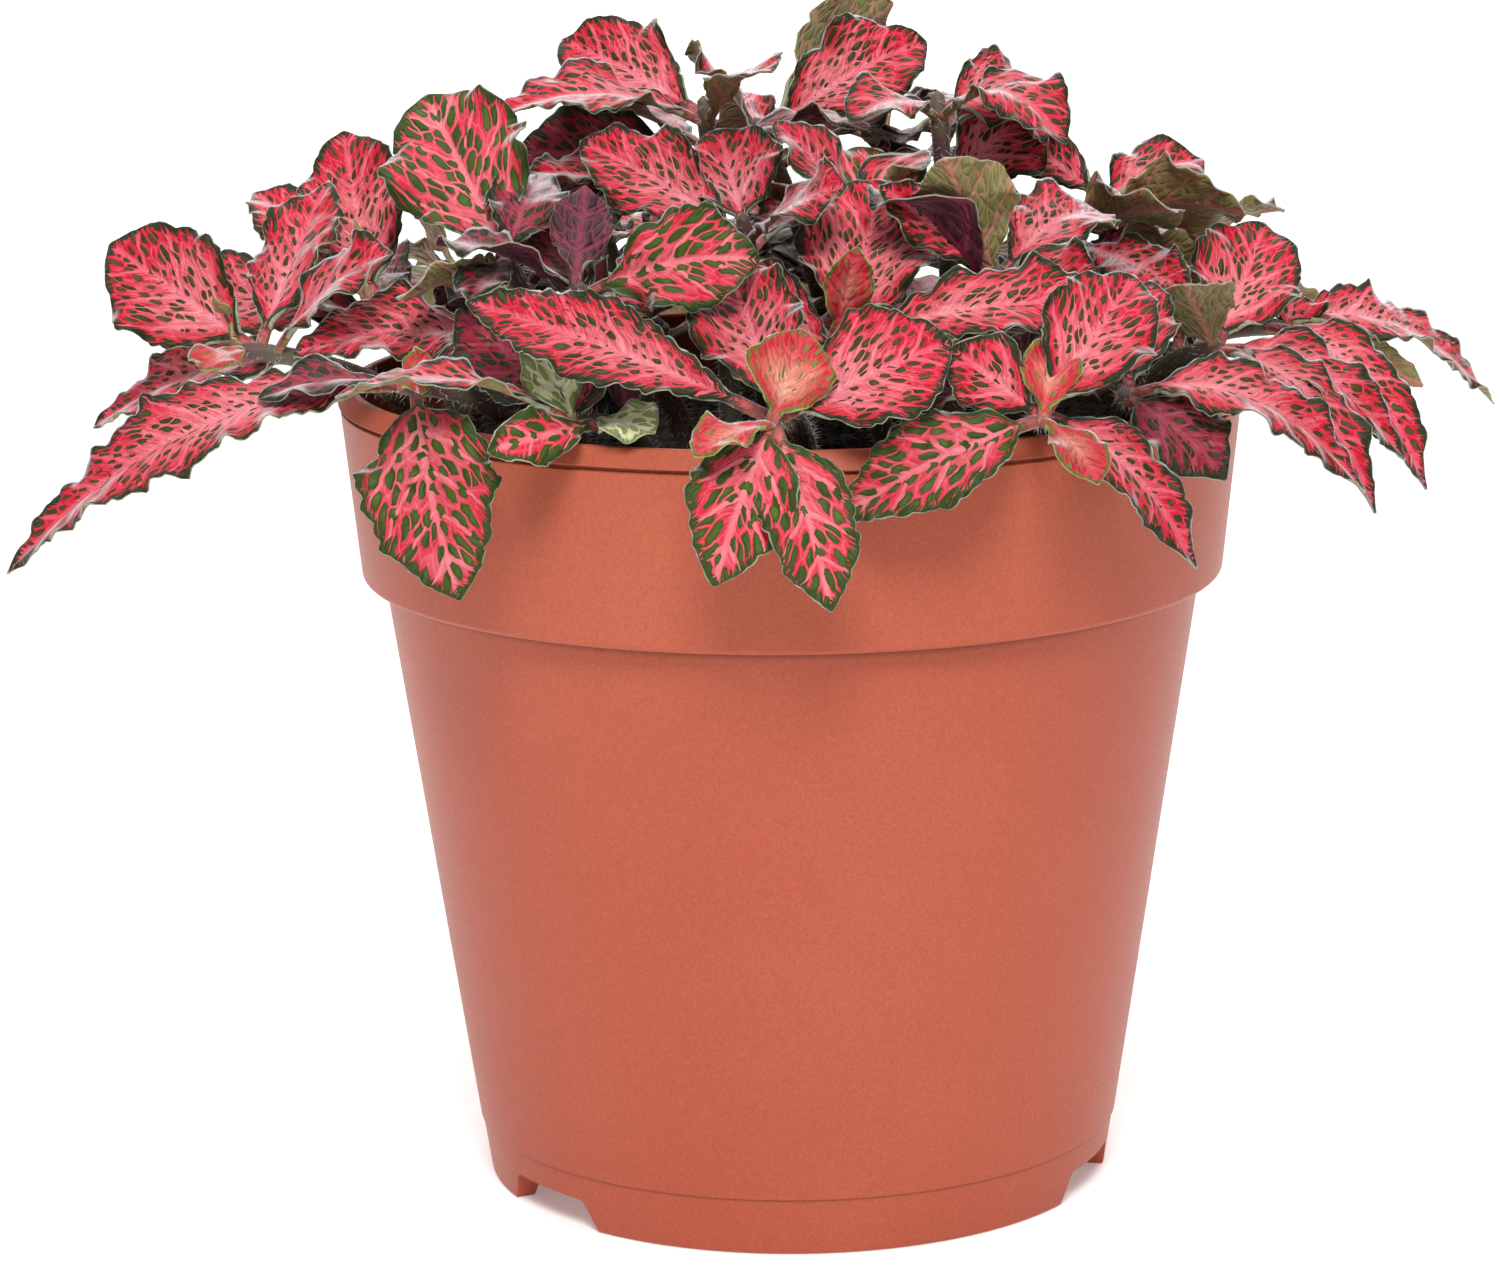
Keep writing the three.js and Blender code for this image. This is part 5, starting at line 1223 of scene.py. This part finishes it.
def make_pot():
    blank = closed_round([ring(r, z, POT_SEGMENTS) for r, z in pot_profile()])
    blank = object_from(blank, "pot_blank")
    cutter = object_from(pot_cutters(), "pot_cutter")
    cut = blank.modifiers.new("cut", "BOOLEAN")
    cut.object = cutter
    cut.operation = "DIFFERENCE"
    cut.solver = "EXACT"
    made = plain_copy(blank, "nursery_pot")
    for spent in (blank, cutter):
        bpy.data.objects.remove(spent)
    made.data.materials.clear()
    made.data.materials.append(pot_material())
    shade_smooth(made.data)
    made.data.set_sharp_from_angle(angle=math.radians(SHARPEST_SMOOTH))
    return made


# ---- The soil's mesh ----
def soil_height(x, y):
    """The lumps of the part's source."""
    coarse = np.sin(x * 0.21 + 0.6) * np.cos(y * 0.17 - 1.1)
    fine = np.sin(x * 0.53 - y * 0.31 + 2) * np.sin(y * 0.47 + 0.4)
    return SOIL_TOP_Z + SOIL_BUMP * (0.6 * coarse + 0.5 * fine)


def make_soil():
    """The compost with its lumpy top, a closed body inside the pot."""
    edge_z = SOIL_TOP_Z - SOIL_EDGE_DROP
    share = (edge_z - BAND_BOTTOM_Z) / (BAND_TOP_Z - BAND_BOTTOM_Z)
    edge = BAND_BOTTOM_RADIUS - WALL + share * (RIM_RADIUS - RIM_LIP - BAND_BOTTOM_RADIUS) - GAP
    least, most = RIPPLE_TURNS
    rng = np.random.default_rng(SOIL_SEED)
    waves = rng.uniform([least, least, 0], [most, most, 2 * math.pi], (RIPPLES, 3))
    rings = []
    for radius in np.linspace(0, edge - SOIL_EDGE, SOIL_RINGS):
        x, y, _ = ring(radius, 0, SOIL_SEGMENTS).T
        z = soil_height(x, y)
        for i, (a, b, phase) in enumerate(waves):
            z = z + RIPPLE_HEIGHT * np.sin(a * x * (-1) ** i + b * y + phase)
        rings.append(np.stack([x, y, z], 1))
    sides = [
        (edge, edge_z),
        (BAND_BOTTOM_RADIUS - WALL - GAP, BAND_BOTTOM_Z),
        (BODY_TOP_RADIUS - WALL - GAP, SHOULDER_Z + INNER_SHOULDER_GAP),
        (BODY_BOTTOM_RADIUS - WALL - GAP, FLOOR_CORNER_Z + INNER_SHOULDER_GAP),
        (BODY_BOTTOM_RADIUS - WALL - FLOOR_ROUNDING - GAP, FLOOR_TOP_Z + GAP),
        (0, FLOOR_TOP_Z + GAP),
    ]
    rings += [ring(radius, z, SOIL_SEGMENTS) for radius, z in sides]
    made = object_from(closed_round(rings), "peat_compost")
    made.data.materials.append(soil_material("moist_peat_compost", "#14100E", "#383027", 1.1))
    shade_smooth(made.data)
    return made


# ---- What Geometry Nodes scatter ----
def scatter_tree(name, *lengths):
    """A node tree that scatters one small shape over a surface above a given height. Its inputs
    are named, with these lengths among them; returns the tree, its inputs and its points."""
    tree = bpy.data.node_groups.new(name, "GeometryNodeTree")
    kinds = {"Surface": "Geometry", "Lowest": "Float", "Density": "Float", "Seed": "Int"}
    for label, kind in (kinds | dict.fromkeys(lengths, "Float")).items():
        tree.interface.new_socket(label, in_out="INPUT", socket_type=f"NodeSocket{kind}")
    tree.interface.new_socket("Pieces", in_out="OUTPUT", socket_type="NodeSocketGeometry")
    source = tree.nodes.new("NodeGroupInput").outputs
    height = add(tree, "ShaderNodeSeparateXYZ", [add(tree, "GeometryNodeInputPosition")], out=2)
    limit = {0: height, 1: source["Lowest"]}
    above = add(tree, "FunctionNodeCompare", limit, data_type="FLOAT", operation="GREATER_THAN")
    scatter = {
        "Mesh": source["Surface"],
        "Selection": above,
        "Density": source["Density"],
        "Seed": source["Seed"],
    }
    spread = add(
        tree, "GeometryNodeDistributePointsOnFaces", scatter, distribute_method="RANDOM"
    ).node.outputs
    return tree, source, spread


def finish_tree(tree, instances, material):
    """Makes the scattered shapes real, gives them their material and ends the tree."""
    real = add(tree, "GeometryNodeRealizeInstances", [instances])
    smooth = add(tree, "GeometryNodeSetShadeSmooth", {"Geometry": real, "Shade Smooth": True})
    done = add(tree, "GeometryNodeSetMaterial", {"Geometry": smooth, "Material": material})
    end = tree.nodes.new("NodeGroupOutput")
    tree.links.new(done, end.inputs[0])
    return tree


def hair_tree(material):
    """Short plant hairs, tilted every way, each a thin three-sided spike."""
    tree, source, spread = scatter_tree("plant_hairs", "Length", "Radius", "Tilt")
    form = {
        "Vertices": 3,
        "Radius Top": 0.0,
        "Radius Bottom": source["Radius"],
        "Depth": source["Length"],
    }
    spike = add(tree, "GeometryNodeMeshCone", form, fill_type="TRIANGLE_FAN")
    back = add(tree, "ShaderNodeMath", [source["Tilt"], -1.0], operation="MULTIPLY")
    low = add(tree, "ShaderNodeCombineXYZ", [back, back, -math.pi])
    high = add(tree, "ShaderNodeCombineXYZ", [source["Tilt"], source["Tilt"], math.pi])
    turns = {0: low, 1: high, "Seed": 3}
    turned = add(tree, "FunctionNodeRandomValue", turns, data_type="FLOAT_VECTOR")
    sizes = {2: HAIR_SIZES[0], 3: HAIR_SIZES[1], "Seed": 5}
    size = add(tree, "FunctionNodeRandomValue", sizes, data_type="FLOAT", out=1)
    where = {
        "Points": spread["Points"],
        "Instance": spike,
        "Rotation": spread["Rotation"],
        "Scale": size,
    }
    placed = add(tree, "GeometryNodeInstanceOnPoints", where)
    tilted = add(tree, "GeometryNodeRotateInstances", {"Instances": placed, "Rotation": turned})
    return finish_tree(tree, tilted, material)


def crumb_tree(material):
    """Crumbs of compost, each a squashed lump turned at random."""
    tree, source, spread = scatter_tree("compost_crumbs", "Radius")
    lump = add(tree, "GeometryNodeMeshIcoSphere", {"Radius": source["Radius"], "Subdivisions": 1})
    most = np.array([CRUMB_TILT, CRUMB_TILT, math.pi])
    size, turned = (
        add(tree, "FunctionNodeRandomValue", limits, data_type="FLOAT_VECTOR")
        for limits in (
            {0: CRUMB_SIZES[0], 1: CRUMB_SIZES[1], "Seed": 11},
            {0: -most, 1: most, "Seed": 13},
        )
    )
    where = {"Points": spread["Points"], "Instance": lump, "Rotation": turned, "Scale": size}
    return finish_tree(tree, add(tree, "GeometryNodeInstanceOnPoints", where), material)


def scattered(surface, tree, values, name):
    """The plain mesh of a scatter tree run over a surface with these input values."""
    modifier = surface.modifiers.new(name, "NODES")
    modifier.node_group = tree
    for item in tree.interface.items_tree:
        if item.in_out == "INPUT" and item.name in values:
            modifier[item.identifier] = values[item.name]
    made = plain_copy(surface, name)
    surface.modifiers.remove(modifier)
    return made


# ---- Making camera, floor and light ----
def make_camera():
    data = bpy.data.cameras.new("camera")
    data.sensor_width = CAMERA_SENSOR
    data.sensor_fit = "HORIZONTAL"
    data.lens = CAMERA_LENS
    data.clip_start, data.clip_end = CAMERA_CLIP
    camera = bpy.data.objects.new("camera", data)
    ahead = Vector((0, math.cos(CAMERA_DOWN), -math.sin(CAMERA_DOWN)))
    right = Vector((1, 0, 0))
    up = right.cross(ahead)
    rolled = right * math.cos(CAMERA_ROLL) + up * math.sin(CAMERA_ROLL)
    upright = up * math.cos(CAMERA_ROLL) - right * math.sin(CAMERA_ROLL)
    turn = Matrix((rolled, upright, -ahead)).transposed().to_4x4()
    camera.matrix_world = Matrix.Translation(Vector(CAMERA_AT) * MM) @ turn
    bpy.context.scene.collection.objects.link(camera)
    bpy.context.scene.camera = camera


def make_floor():
    """Seamless white paper, larger than any view."""
    made = bmesh.new()
    bmesh.ops.create_grid(made, x_segments=2, y_segments=2, size=FLOOR_SIZE)
    floor = object_from(made, "white_paper_floor")
    floor.location.z = -FLOOR_BELOW * MM
    material, tree, shader = new_material("white_paper", 0.9, specular=0.1)
    shader.inputs["Base Color"].default_value = linear("#FAFAFA")
    shader.inputs["Emission Color"].default_value = linear("#FFFFFF")
    shader.inputs["Emission Strength"].default_value = FLOOR_GLOW
    floor.data.materials.append(material)


def make_light():
    world = bpy.data.worlds.new("white_studio")
    world.use_nodes = True
    background = world.node_tree.nodes["Background"]
    background.inputs["Color"].default_value = linear("#FFFFFF")
    background.inputs["Strength"].default_value = WORLD_STRENGTH
    bpy.context.scene.world = world
    for name, place, aim, size, power in SOFT_BOXES:
        data = bpy.data.lights.new(name, "AREA")
        data.shape = "SQUARE"
        data.size = size
        data.energy = power
        lamp = bpy.data.objects.new(name, data)
        lamp.location = place
        lamp.rotation_euler = (Vector(aim) - Vector(place)).to_track_quat("-Z", "Y").to_euler()
        bpy.context.scene.collection.objects.link(lamp)


# ---- The scene ----
bpy.context.scene.view_settings.view_transform = "Standard"
make_camera()
make_floor()
make_light()

pot = make_pot()
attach(pot, "root")
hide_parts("pot")

soil = make_soil()
crumbs = scattered(
    soil,
    crumb_tree(soil_material("compost_crumb", "#1C1714", "#4E4438", 1.4)),
    {
        "Lowest": (SOIL_TOP_Z - CRUMBS_DOWN_TO) * MM,
        "Density": CRUMBS,
        "Seed": 4,
        "Radius": CRUMB_RADIUS * MM,
    },
    "compost_crumbs",
)
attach(soil, "root")
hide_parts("soil")
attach(crumbs, "root")

leaf_materials = [leaf_material(name, look) for name, look in LOOKS.items()]
leaf_materials.append(stem_material())

all_stems = Sheet()
for number, (node, (root, top, rows)) in enumerate(SHOOTS.items()):
    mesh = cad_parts[node].data
    solid = BVHTree.FromPolygons([v.co for v in mesh.vertices], [f.vertices for f in mesh.polygons])
    stem = stem_line(root, top)
    sheet = Sheet()
    for gathered in (sheet, all_stems):
        add_stem(gathered, stem, root)
    leaves = [(row, stations_of(row), 1.0) for row in rows]
    leaves += [(row, FILL_STATIONS, FILL_DETAIL) for row in fill_rows(stem, number)]
    for k, (row, stations, detail) in enumerate(leaves):
        lean, bend = find_lean(solid, stem, row, stations)
        if lean is not None:
            add_leaf(sheet, stem, row, lean, bend, stations, detail, 100 * number + k)
    piece = piece_from_sheet(sheet, node.replace("shoot", "leafy_stem"), leaf_materials)
    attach(piece, "root")
    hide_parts(node)

stems = piece_from_sheet(all_stems, "stems_to_grow_hair_on", leaf_materials)
hairs = scattered(
    stems,
    hair_tree(hair_material()),
    {
        "Lowest": (SOIL_TOP_Z + HAIRS_FROM) * MM,
        "Density": HAIRS,
        "Seed": 2,
        "Length": HAIR_LENGTH * MM,
        "Radius": HAIR_RADIUS * MM,
        "Tilt": HAIR_TILT,
    },
    "stem_hairs",
)
bpy.data.objects.remove(stems)
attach(hairs, "root")
